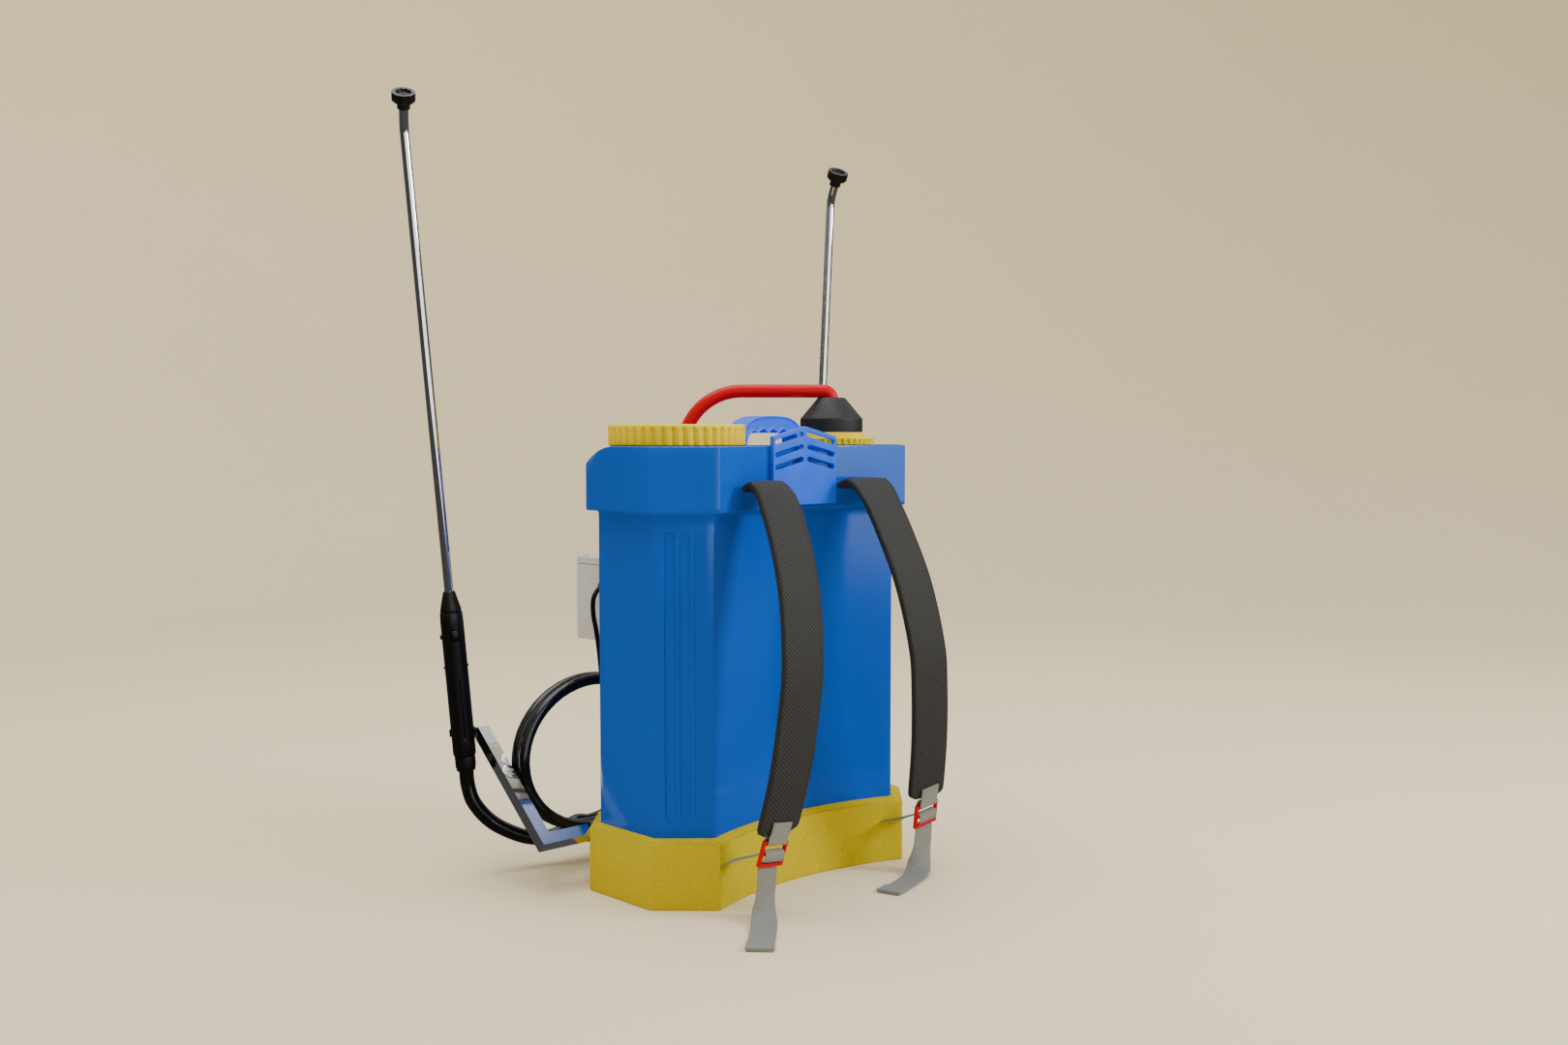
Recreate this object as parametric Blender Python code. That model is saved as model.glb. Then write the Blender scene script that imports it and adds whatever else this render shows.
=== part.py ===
"""Backpack sprayer: blue tank on a yellow base, hand pump with a side lever, battery pump,
lance with a trigger grip, spare lance, hose and two shoulder straps.

Metres, +Z up. The origin is at the centre of the base's underside. The wearer's back is on the -Y side,
the lever is on the -X side.
"""

import math

import bmesh
import bpy
from mathutils import Matrix, Vector

GAP = 0.0003

# Tank and base
BASE_WIDTH = 0.386
BASE_DEPTH = 0.2057
CORNER_CHAMFER = 0.052
BACK_HOLLOW = 0.028
BACK_ARC_STEPS = 12
RIM_TOP = 0.0685
LEDGE_TOP = 0.073
BODY_INSET = 0.0115
BASE_WALL = 0.003
BASE_PLATE = 0.003
TANK_BOTTOM = 0.0703
TANK_TOP = 0.480
BAND_BOTTOM = 0.4115
BAND_OUTSET = 0.0011
TANK_WALL = 0.0035
SHOULDER_START = 0.005
SHOULDER_RADIUS = 0.067
SHOULDER_ANGLE = math.radians(40)

# Filling lid and neck
LID_X = -0.1105
LID_RADIUS = 0.0738
LID_TOP = 0.503
NECK_RADIUS = 0.062
NECK_BORE = 0.056
NECK_TOP = 0.494
PUMP_PORT = 0.0335

# Hand pump
PUMP_X = 0.1277
RING_RADIUS = 0.0498
DISC_RADIUS = 0.0391
DISC_TOP = 0.4942
DOME_RADIUS = 0.0368
DOME_TOP_RADIUS = 0.016
DOME_SHOULDER = 0.5104
DOME_TOP = 0.5353
CYLINDER_Y = 0.014
CYLINDER_RADIUS = 0.018
CYLINDER_BORE = 0.0155

# Delivery pipe
PIPE_RADIUS = 0.0078
PIPE_LEVEL = 0.543
PIPE_END = (-0.0047, 0.1156)
PIPE_ARC = 0.070
PIPE_BEND = 0.0095
PIPE_BOTTOM = 0.266

# Lever, its shaft and crank
SHAFT_Y = 0.080
SHAFT_Z = 0.054
SHAFT_RADIUS = 0.006
LEVER_SIZE = 0.014
LEVER_WALL = 0.0015
LEVER_X = -0.232
LEVER_INNER_X = -0.174
ARM_END = (0.200, 0.159)
CRANK_PIN_Z = 0.060

# Lance axis
GRIP_BOTTOM = Vector((-0.2536, 0.200, 0.134))
LANCE_AXIS = Vector((-0.0953, 0.0, 0.9954)).normalized()
TIP_AXIS = Vector((-0.287, -0.489, 0.824)).normalized()
GRIP_RADIUS = 0.0127
GRIP_LENGTH = 0.163
NOSE_LENGTH = 0.023
LANCE_RADIUS = 0.005
LANCE_BEND = 0.689
TRIGGER_HEIGHT = 0.138
TRIGGER_FACING = Vector((-0.41, -0.912, 0.0))
CLIP_HEIGHT = 0.026
CLIP_WIDTH = 0.008
CLIP_WALL = 0.0016
NOZZLE_RADIUS = 0.0125
NOZZLE_START = 0.0200
COLLAR_RADIUS = 0.0069
COLLAR_HEIGHT = 0.0040

# Spare lance
SPARE_BEND = Vector((0.2046, 0.077, 0.782))
SPARE_AXIS = Vector((0.058, 0.0, 1.0)).normalized()
SPARE_TIP_AXIS = Vector((-0.161, -0.507, 0.846)).normalized()
SPARE_LENGTH = 0.515

# Battery box
BOX_LEFT = -0.130
BOX_RIGHT = -0.020
BOX_OUTER = 0.1565
BOX_BOTTOM = 0.259
BOX_TOP = 0.3535
BOX_LID = 0.009

# Hose
HOSE_RADIUS = 0.0065
COIL_CENTRE = (-0.116, 0.1264)
COIL_RADII = (0.099, 0.0844)
COIL_START_Y = 0.164
COIL_TURNS = 2.25
COIL_PITCH = 0.0133
HOOK_X = -0.070

# Straps
PAD_WIDTH = 0.056
PAD_THICK = 0.008
WEB_WIDTH = 0.027
WEB_THICK = 0.0022
BUCKLE_TOP = Vector((0.1166, -0.1605, 0.081))
BUCKLE_BOTTOM = Vector((0.1204, -0.1544, 0.054))
BUCKLE_HALF = 0.0175
BUCKLE_THICK = 0.0044
BUCKLE_RAIL = 0.0034
BUCKLE_BAR = 0.0040

# Carry handle
HANDLE_X = 0.020
HANDLE_HALF = 0.047
HANDLE_LEG = 0.0075
HANDLE_TOP = 0.513
HANDLE_WIDTH = 0.028
HANDLE_OPENING = 0.0155
HANDLE_WAVE = 0.0021
HANDLE_WAVE_PITCH = 0.0157

# Slotted plate
PLATE_FRONT = -0.0855
PLATE_BACK = -0.0796
PLATE_HALF = 0.0480
PLATE_BOTTOM = 0.416
PLATE_EAVE = 0.490
PLATE_PEAK = 0.501
SLOT_PITCH = 0.0135
SLOT_HALF = 0.0028

# Battery cable route
CABLE_RADIUS = 0.00275
CABLE_KNOTS = [
    (-0.13934, 0.1005, 0.32091), (-0.14130, 0.1008, 0.31915), (-0.14385, 0.1018, 0.31560),
    (-0.14555, 0.1026, 0.31114),
    (-0.14642, 0.1036, 0.30471), (-0.1452, 0.1045, 0.290), (-0.1410, 0.105, 0.272), (-0.1372, 0.105, 0.248),
    (-0.1345, 0.104, 0.215), (-0.1315, 0.1025, 0.175), (-0.1285, 0.100, 0.135), (-0.1265, 0.0978, 0.105),
    (-0.126, 0.0972, 0.0826),
]
GLAND_ANCHOR = (-0.1303, 0.1005, 0.3285)
GLAND_AXIS = Vector((-0.766, 0.0, -0.643)).normalized()
GLAND_RADIUS = 0.0055

# Hose routes
TAIL_KNOTS = [
    (-0.2519, 0.200, 0.1164), (-0.2503, 0.1997, 0.100), (-0.2447, 0.196, 0.079), (-0.2264, 0.188, 0.0553),
    (-0.197, 0.178, 0.0372), (-0.172, 0.170, 0.0305), (-0.150, 0.1655, 0.0305),
]
LEAD_KNOTS = [
    (-0.0103, 0.1310, 0.176), (-0.0070, 0.1235, 0.200), (-0.0048, 0.1163, 0.222), (-0.0047, 0.1156, 0.231),
    (-0.0047, 0.1156, 0.2392),
]

# Strap routes, for the right side
PAD_KNOTS = [
    (0.0768, -0.0893, 0.4385), (0.0768, -0.0965, 0.4423), (0.0768, -0.1060, 0.4435),
    (0.0770, -0.1228, 0.4300), (0.0805, -0.1456, 0.3900), (0.0875, -0.1690, 0.3300),
    (0.0955, -0.1820, 0.2620), (0.1005, -0.1820, 0.2150), (0.1072, -0.1760, 0.1500),
    (0.1150, -0.1640, 0.0870),
]
LOWER_WEB_KNOTS = [(0.1262, -0.0985, 0.0475), (0.1241, -0.1162, 0.0542), (0.1221, -0.1338, 0.0608),
                   (0.1200, -0.1515, 0.0675)]
TAIL_WEB = {
    "left": [(-0.1206, -0.1541, 0.0505), (-0.1214, -0.1525, 0.0400), (-0.1235, -0.1525, 0.0240),
             (-0.1290, -0.1570, 0.0100), (-0.1380, -0.1660, 0.0030), (-0.1500, -0.1780, 0.0006),
             (-0.1740, -0.2010, 0.0004), (-0.1990, -0.2240, 0.0004)],
    "right": [(0.1206, -0.1541, 0.0505), (0.1204, -0.1525, 0.0400), (0.1175, -0.1530, 0.0240),
              (0.1105, -0.1560, 0.0105), (0.1000, -0.1610, 0.0035), (0.0860, -0.1665, 0.0006),
              (0.0580, -0.1755, 0.0004), (0.0270, -0.1840, 0.0004)],
}


def make_material(name, colour, roughness, metallic=0.0):
    material = bpy.data.materials.new(name)
    material.use_nodes = True
    shader = material.node_tree.nodes["Principled BSDF"]
    shader.inputs["Base Color"].default_value = (*colour, 1.0)
    shader.inputs["Roughness"].default_value = roughness
    shader.inputs["Metallic"].default_value = metallic
    return material


def make_materials():
    return {
        "blue": make_material("blue_plastic", (0.01, 0.14, 0.55), 0.25),
        "light_blue": make_material("light_blue_plastic", (0.05, 0.20, 0.75), 0.35),
        "yellow": make_material("yellow_plastic", (0.68, 0.52, 0.03), 0.6),
        "bright_yellow": make_material("bright_yellow_plastic", (0.85, 0.66, 0.06), 0.5),
        "red": make_material("red_plastic", (0.60, 0.01, 0.01), 0.25),
        "black": make_material("black_plastic", (0.03, 0.03, 0.03), 0.5),
        "rubber": make_material("black_rubber", (0.02, 0.02, 0.02), 0.35),
        "chrome": make_material("chrome", (0.8, 0.8, 0.82), 0.1, 1.0),
        "steel": make_material("steel", (0.6, 0.6, 0.6), 0.35, 1.0),
        "grey": make_material("grey_plastic", (0.55, 0.55, 0.55), 0.6),
        "mesh": make_material("strap_mesh", (0.03, 0.03, 0.03), 0.9),
        "webbing": make_material("grey_webbing", (0.33, 0.33, 0.32), 0.9),
        "white": make_material("white_plastic", (0.75, 0.75, 0.72), 0.5),
    }


def clear_scene():
    for item in list(bpy.data.objects):
        bpy.data.objects.remove(item, do_unlink=True)


def add_object(name, points, faces, material):
    """One object from plain points and faces, with its faces turned outwards."""
    mesh = bpy.data.meshes.new(name)
    mesh.from_pydata([tuple(p) for p in points], [], faces)
    work = bmesh.new()
    work.from_mesh(mesh)
    bmesh.ops.recalc_face_normals(work, faces=work.faces[:])
    work.to_mesh(mesh)
    work.free()
    if material:
        mesh.materials.append(material)
    mesh.shade_smooth()
    mesh.set_sharp_from_angle(angle=math.radians(35))
    item = bpy.data.objects.new(name, mesh)
    bpy.context.collection.objects.link(item)
    return item


def skin(loops, closed):
    """Quads between loops of equal length, and two end caps unless the loops close on themselves."""
    size = len(loops[0])
    points = [p for loop in loops for p in loop]
    faces = []
    spans = len(loops) if closed else len(loops) - 1
    for i in range(spans):
        a = i * size
        b = ((i + 1) % len(loops)) * size
        for j in range(size):
            k = (j + 1) % size
            faces.append((a + j, a + k, b + k, b + j))
    if not closed:
        faces.append(tuple(range(size)))
        faces.append(tuple(range(len(points) - size, len(points))))
    return points, faces


def loft(name, loops, material, closed=False):
    points, faces = skin(loops, closed)
    return add_object(name, points, faces, material)


def axis_frame(origin, axis):
    """A matrix whose Z is the axis."""
    turn = Vector((0, 0, 1)).rotation_difference(Vector(axis)).to_matrix().to_4x4()
    return Matrix.Translation(Vector(origin)) @ turn


def turned(name, profile, origin, axis, material, steps=32):
    """A solid of revolution from (radius, height) points. A profile that starts at radius 0 is capped."""
    frame = axis_frame(origin, axis)
    points = []
    rows = []
    for radius, height in profile:
        if radius == 0:
            rows.append([len(points)])
            points.append(frame @ Vector((0, 0, height)))
            continue
        row = []
        for i in range(steps):
            angle = 2 * math.pi * i / steps
            row.append(len(points))
            points.append(frame @ Vector((radius * math.cos(angle), radius * math.sin(angle), height)))
        rows.append(row)
    closed = profile[0][0] != 0
    faces = []
    spans = len(rows) if closed else len(rows) - 1
    for i in range(spans):
        low = rows[i]
        high = rows[(i + 1) % len(rows)]
        for j in range(steps):
            k = (j + 1) % steps
            if len(low) == 1:
                faces.append((low[0], high[j], high[k]))
            elif len(high) == 1:
                faces.append((low[j], low[k], high[0]))
            else:
                faces.append((low[j], low[k], high[k], high[j]))
    return add_object(name, points, faces, material)


def block(name, low, high, material):
    x0, y0, z0 = low
    x1, y1, z1 = high
    outline = [(x0, y0), (x1, y0), (x1, y1), (x0, y1)]
    return loft(name, [[(x, y, z0) for x, y in outline], [(x, y, z1) for x, y in outline]], material)


def bevel(item, width, segments=2):
    change = item.modifiers.new("bevel", "BEVEL")
    change.width = width
    change.segments = segments
    change.limit_method = "ANGLE"
    change.angle_limit = math.radians(40)


def use_as_cutter(item):
    item.hide_render = True
    item.display_type = "WIRE"


def combine(item, other, operation):
    use_as_cutter(other)
    change = item.modifiers.new(operation.lower(), "BOOLEAN")
    change.operation = operation
    change.object = other


def cut(item, other):
    combine(item, other, "DIFFERENCE")


def join(item, other):
    combine(item, other, "UNION")


def smooth_route(knots, count):
    """Points at even steps along a smooth curve through the knots."""
    knots = [Vector(k) for k in knots]
    ends = [knots[0] * 2 - knots[1]] + knots + [knots[-1] * 2 - knots[-2]]
    fine = []
    per_span = 24
    for i in range(1, len(ends) - 2):
        a, b, c, d = ends[i - 1 : i + 3]
        for j in range(per_span):
            t = j / per_span
            fine.append(
                0.5
                * (
                    2 * b
                    + (c - a) * t
                    + (2 * a - 5 * b + 4 * c - d) * t * t
                    + (3 * b - a - 3 * c + d) * t * t * t
                )
            )
    fine.append(knots[-1])
    lengths = [0.0]
    for p, q in zip(fine, fine[1:]):
        lengths.append(lengths[-1] + (q - p).length)
    route = []
    at = 0
    for i in range(count):
        want = lengths[-1] * i / (count - 1)
        while at < len(fine) - 2 and lengths[at + 1] < want:
            at += 1
        share = (want - lengths[at]) / max(lengths[at + 1] - lengths[at], 1e-9)
        route.append(fine[at].lerp(fine[at + 1], min(share, 1.0)))
    return route


def directions(route):
    result = []
    for i, p in enumerate(route):
        before = route[max(i - 1, 0)]
        after = route[min(i + 1, len(route) - 1)]
        result.append((after - before).normalized())
    return result


def swept(name, route, outline, sides, material, square=True):
    """A solid whose cross-section, given as (along side, along normal) points, follows the route.

    With square off, the sections keep the sides as they are given, so an end can follow a slanting wall.
    """
    loops = []
    for p, along, side in zip(route, directions(route), sides):
        if square:
            side = (side - along * side.dot(along)).normalized()
        normal = along.cross(side).normalized()
        loops.append([p + side * a + normal * b for a, b in outline])
    return loft(name, loops, material)


def round_outline(radius, steps):
    return [
        (radius * math.cos(2 * math.pi * i / steps), radius * math.sin(2 * math.pi * i / steps))
        for i in range(steps)
    ]


def cord_tube(name, route, radius, material, resolution):
    """A free cord as a bevelled curve with filled ends."""
    curve = bpy.data.curves.new(name, "CURVE")
    curve.dimensions = "3D"
    curve.bevel_depth = radius
    curve.bevel_resolution = resolution
    curve.use_fill_caps = True
    curve.render_resolution_u = 0
    line = curve.splines.new("POLY")
    line.points.add(len(route) - 1)
    for spot, p in zip(line.points, route):
        spot.co = (*p, 1.0)
    curve.materials.append(material)
    item = bpy.data.objects.new(name, curve)
    bpy.context.collection.objects.link(item)
    return item


def plan(inset, height):
    """The tank's plan at one height: a rectangle with cut corners and a hollow arc on the wearer's side."""
    w = BASE_WIDTH / 2 - inset
    d = BASE_DEPTH / 2 - inset
    c = CORNER_CHAMFER - (2 - math.sqrt(2)) * inset
    half = BASE_WIDTH / 2 - CORNER_CHAMFER
    arc_radius = (half**2 + BACK_HOLLOW**2) / (2 * BACK_HOLLOW)
    arc_centre = -BASE_DEPTH / 2 + BACK_HOLLOW - arc_radius
    reach = w - c
    points = []
    for i in range(BACK_ARC_STEPS + 1):
        x = -reach + 2 * reach * i / BACK_ARC_STEPS
        points.append((x, arc_centre + math.sqrt((arc_radius + inset) ** 2 - x * x), height))
    points += [(w, -d + c, height), (w, d - c, height), (w - c, d, height)]
    points += [(-w + c, d, height), (-w, d - c, height), (-w, -d + c, height)]
    return points


def shoulder_cutter(name, inset):
    """Everything above the rounded shoulder and the slope behind it."""
    radius = SHOULDER_RADIUS - inset
    centre = TANK_TOP - SHOULDER_RADIUS
    top = centre + radius
    outline = [(SHOULDER_START - 0.015, top + 0.0012)]
    steps = 8
    for i in range(1, steps + 1):
        angle = SHOULDER_ANGLE * i / steps
        outline.append((SHOULDER_START + radius * math.sin(angle), centre + radius * math.cos(angle)))
    y_end, z_end = outline[-1]
    run = 0.13 - y_end
    outline.append((0.13, z_end - run * math.tan(SHOULDER_ANGLE)))
    outline.append((0.13, 0.52))
    outline.append((SHOULDER_START - 0.015, 0.52))
    loops = [[(x, y, z) for y, z in outline] for x in (-0.25, 0.25)]
    return loft(name, loops, None)


def cylinder(name, radius, low, high, x, y, steps=48, material=None):
    profile = [(0, low), (radius, low), (radius, high), (0, high)]
    return turned(name, profile, (x, y, 0), (0, 0, 1), material, steps)


def make_tank(m):
    inset = BODY_INSET
    outer = [
        (TANK_BOTTOM, inset),
        (BAND_BOTTOM - 0.004, inset),
        (BAND_BOTTOM - 0.001, inset - 0.0015),
        (BAND_BOTTOM, inset - 0.005),
        (BAND_BOTTOM + 0.0002, 0.003),
        (BAND_BOTTOM + 0.002, 0.0),
        (BAND_BOTTOM + 0.006, -BAND_OUTSET),
        (TANK_TOP - 0.0015, -BAND_OUTSET),
        (TANK_TOP, 0.0004),
    ]
    inner = [
        (TANK_BOTTOM + TANK_WALL, inset + TANK_WALL),
        (BAND_BOTTOM, inset + TANK_WALL),
        (BAND_BOTTOM + 0.005, TANK_WALL),
        (TANK_TOP - TANK_WALL, TANK_WALL),
    ]
    tank = loft("tank_shell", [plan(i, z) for z, i in outer], m["blue"])
    hollow = loft("tank_hollow_cutter", [plan(i, z) for z, i in inner], None)
    cut(tank, use(shoulder_cutter("shoulder_cutter", 0.0)))
    cut(hollow, use(shoulder_cutter("inner_shoulder_cutter", TANK_WALL)))
    cut(tank, hollow)
    neck = [(NECK_BORE, 0.425), (0.072, 0.425), (0.072, TANK_TOP + GAP), (NECK_RADIUS, TANK_TOP + GAP),
            (NECK_RADIUS, NECK_TOP), (NECK_BORE, NECK_TOP)]
    collar(tank, "fill", LID_X, neck)
    port = [(PUMP_PORT, 0.435), (0.052, 0.435), (0.052, TANK_TOP + GAP), (PUMP_PORT, TANK_TOP + GAP)]
    collar(tank, "pump", PUMP_X, port)
    cut(tank, cylinder("cylinder_port", CYLINDER_RADIUS + GAP, 0.060, 0.085, PUMP_X, CYLINDER_Y, 32))


def collar(tank, label, x, profile):
    """A hole through the tank's top, and the moulded collar that fills its rim."""
    inner = profile[0][0]
    outer = profile[1][0]
    cut(tank, cylinder(f"{label}_hole", (inner + outer) / 2, 0.420, 0.520, x, 0))
    join(tank, turned(f"{label}_collar", profile, (x, 0, 0), (0, 0, 1), None, 48))


def use(item):
    use_as_cutter(item)
    return item


def make_base(m):
    profile = [
        (0.0, 0.0015),
        (0.0015, 0.0),
        (RIM_TOP - 0.0012, 0.0),
        (RIM_TOP, 0.0012),
        (LEDGE_TOP, BODY_INSET - GAP),
        (TANK_BOTTOM - GAP, BODY_INSET - GAP),
        (TANK_BOTTOM - GAP, 0.020),
        (TANK_BOTTOM - 0.006, 0.020),
        (TANK_BOTTOM - 0.010, BASE_WALL),
        (0.0, BASE_WALL),
    ]
    base = loft("base_shell", [plan(i, z) for z, i in profile], m["yellow"], closed=True)
    cut(base, turned("lever_hole_cutter", [(0, 0), (0.0113, 0), (0.0113, 0.05), (0, 0.05)],
                     (-0.190, SHAFT_Y, SHAFT_Z), (1, 0, 0), None, 24))
    plate_inset = BASE_WALL + GAP
    loft("base_plate", [plan(plate_inset, 0.0), plan(plate_inset, BASE_PLATE)], m["yellow"])


def make_lid(m):
    low = TANK_TOP + 0.0006
    profile = [(0, LID_TOP - 0.0045), (0.0645, LID_TOP - 0.0045), (0.0645, low), (LID_RADIUS, low),
               (LID_RADIUS, LID_TOP - 0.0025), (LID_RADIUS - 0.0025, LID_TOP), (0, LID_TOP)]
    turned("fill_lid", profile, (LID_X, 0, 0), (0, 0, 1), m["bright_yellow"], 48)
    seal = [(0.050, 0.4963), (0.0615, 0.4963), (0.0615, 0.4981), (0.050, 0.4981)]
    turned("lid_seal", seal, (LID_X, 0, 0), (0, 0, 1), m["rubber"], 40)
    basket = [(0, 0.418), (0.053, 0.418), (0.053, NECK_TOP + GAP), (0.0610, NECK_TOP + GAP),
              (0.0610, 0.4959), (0.0505, 0.4959), (0.0505, 0.4205), (0, 0.4205)]
    turned("strainer_basket", basket, (LID_X, 0, 0), (0, 0, 1), m["white"], 32)


def make_pump_head(m):
    low = TANK_TOP + 0.0006
    disc = [(0, 0.460), (0.033, 0.460), (0.033, low), (DISC_RADIUS, low),
            (DISC_RADIUS, DISC_TOP - 0.0015), (DISC_RADIUS - 0.0015, DISC_TOP), (0, DISC_TOP)]
    turned("pump_disc", disc, (PUMP_X, 0, 0), (0, 0, 1), m["bright_yellow"], 40)
    ring = [(DISC_RADIUS + 0.0004, low), (RING_RADIUS, low), (RING_RADIUS, 0.4875),
            (RING_RADIUS - 0.001, 0.4885), (DISC_RADIUS + 0.0004, 0.4885)]
    turned("pump_ring_nut", ring, (PUMP_X, 0, 0), (0, 0, 1), m["bright_yellow"], 40)
    socket = PIPE_RADIUS + 0.0016
    dome = [(0, DISC_TOP + GAP), (DOME_RADIUS, DISC_TOP + GAP), (DOME_RADIUS, DOME_SHOULDER),
            (DOME_TOP_RADIUS, DOME_TOP), (socket, DOME_TOP), (socket, DOME_TOP - 0.007),
            (0, DOME_TOP - 0.007)]
    turned("pressure_dome", dome, (PUMP_X, 0, 0), (0, 0, 1), m["black"], 40)
    barrel = [(CYLINDER_BORE, TANK_BOTTOM - 0.001), (CYLINDER_RADIUS, TANK_BOTTOM - 0.001),
              (CYLINDER_RADIUS, 0.4597), (CYLINDER_BORE, 0.4597)]
    turned("pump_cylinder", barrel, (PUMP_X, CYLINDER_Y, 0), (0, 0, 1), m["white"], 24)
    rod = [(0, 0.055), (0.004, 0.055), (0.004, 0.300), (0.0151, 0.300), (0.0151, 0.312), (0, 0.312)]
    piston = turned("piston_rod", rod, (PUMP_X, CYLINDER_Y, 0), (0, 0, 1), m["steel"], 24)
    pin = turned("crank_pin_body", [(0, -0.010), (0.003, -0.010), (0.003, 0.010), (0, 0.010)],
                 (PUMP_X, CYLINDER_Y, CRANK_PIN_Z), (1, 0, 0), m["steel"], 16)
    join(piston, pin)


def pipe_route():
    """Up out of the dome, level across the tank, then one large bend down behind it."""
    start = Vector((PUMP_X, 0, 0))
    end = Vector((*PIPE_END, 0))
    heading = (end - start).normalized()
    across = (end - start).length
    small = PIPE_BEND
    up = Vector((0, 0, 1))
    route = [start + up * (DOME_TOP - 0.0065)]
    for i in range(6):
        angle = math.pi / 2 * i / 5
        route.append(start + heading * small * (1 - math.cos(angle))
                     + up * (PIPE_LEVEL - small + small * math.sin(angle)))
    for i in range(11):
        angle = math.pi / 2 * i / 10
        route.append(start + heading * (across - PIPE_ARC + PIPE_ARC * math.sin(angle))
                     + up * (PIPE_LEVEL - PIPE_ARC + PIPE_ARC * math.cos(angle)))
    route.append(end + up * PIPE_BOTTOM)
    return route, heading


def make_delivery(m):
    route, heading = pipe_route()
    side = heading.cross(Vector((0, 0, 1)))
    swept("delivery_pipe", route, round_outline(PIPE_RADIUS, 14), [side] * len(route), m["red"])
    x, y = PIPE_END
    sleeve = [(0, 0.240), (0.0115, 0.240), (0.0115, 0.262),
              (0.0130, 0.264), (0.0130, 0.280), (PIPE_RADIUS + 0.0004, 0.280),
              (PIPE_RADIUS + 0.0004, PIPE_BOTTOM - 0.0004), (0, PIPE_BOTTOM - 0.0004)]
    turned("hose_coupling", sleeve, (x, y, 0), (0, 0, 1), m["black"], 24)
    wall = BASE_DEPTH / 2 - BODY_INSET + GAP
    bracket = block("pipe_bracket", (x - 0.011, wall, 0.296), (x + 0.011, y + 0.011, 0.308), m["black"])
    bracket_bore = cylinder("bracket_bore", PIPE_RADIUS + 0.0004, 0.290, 0.315, x, y, 24)
    cut(bracket, bracket_bore)


def handle_height(share, power, height):
    return height * (1 - abs(share) ** power) ** (1 / power)


def make_handle(m):
    """A thick arch with finger waves along its underside."""
    low = TANK_TOP + GAP
    steps = 20
    outline = []
    for i in range(steps + 1):
        share = math.cos(math.pi * i / steps)
        z = low + handle_height(share, 2.8, HANDLE_TOP - low)
        outline.append((HANDLE_X + HANDLE_HALF * share, z))
    inner = HANDLE_HALF - HANDLE_LEG
    waves = 22
    for i in range(waves + 1):
        share = -math.cos(math.pi * i / waves)
        x = inner * share
        ripple = HANDLE_WAVE * math.cos(2 * math.pi * x / HANDLE_WAVE_PITCH) * handle_height(share, 2, 1)
        outline.append((HANDLE_X + x, low + handle_height(share, 4, HANDLE_OPENING) + ripple))
    loops = [[(x, y, z) for x, z in outline] for y in (-HANDLE_WIDTH / 2, HANDLE_WIDTH / 2)]
    loft("carry_handle", loops, m["light_blue"])


def slot_outline(sign, drop):
    """One slanted slot with round ends, as (x, z) points."""
    slope = math.atan2(PLATE_PEAK - PLATE_EAVE, PLATE_HALF)
    inner = 0.0055
    outer = PLATE_HALF - 0.0055
    points = []
    for x, start in ((outer, -math.pi / 2), (inner, math.pi / 2)):
        z = PLATE_PEAK - math.tan(slope) * x - drop
        for i in range(5):
            angle = start + math.pi * i / 4 - slope
            points.append((sign * (x + SLOT_HALF * math.cos(angle)), z + SLOT_HALF * math.sin(angle)))
    return points


def make_plate(m):
    outline = [(-PLATE_HALF, PLATE_BOTTOM), (PLATE_HALF, PLATE_BOTTOM), (PLATE_HALF, PLATE_EAVE),
               (0, PLATE_PEAK), (-PLATE_HALF, PLATE_EAVE)]
    plate = loft("slotted_plate", [[(x, y, z) for x, z in outline] for y in (PLATE_FRONT, PLATE_BACK)],
                 m["light_blue"])
    for sign in (-1, 1):
        for row in range(3):
            points = slot_outline(sign, 0.0075 + SLOT_PITCH * row)
            loops = [[(x, y, z) for x, z in points] for y in (PLATE_FRONT - 0.005, PLATE_BACK + 0.005)]
            cut(plate, loft(f"slot_cutter_{row}_{'left' if sign < 0 else 'right'}", loops, None))


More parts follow.
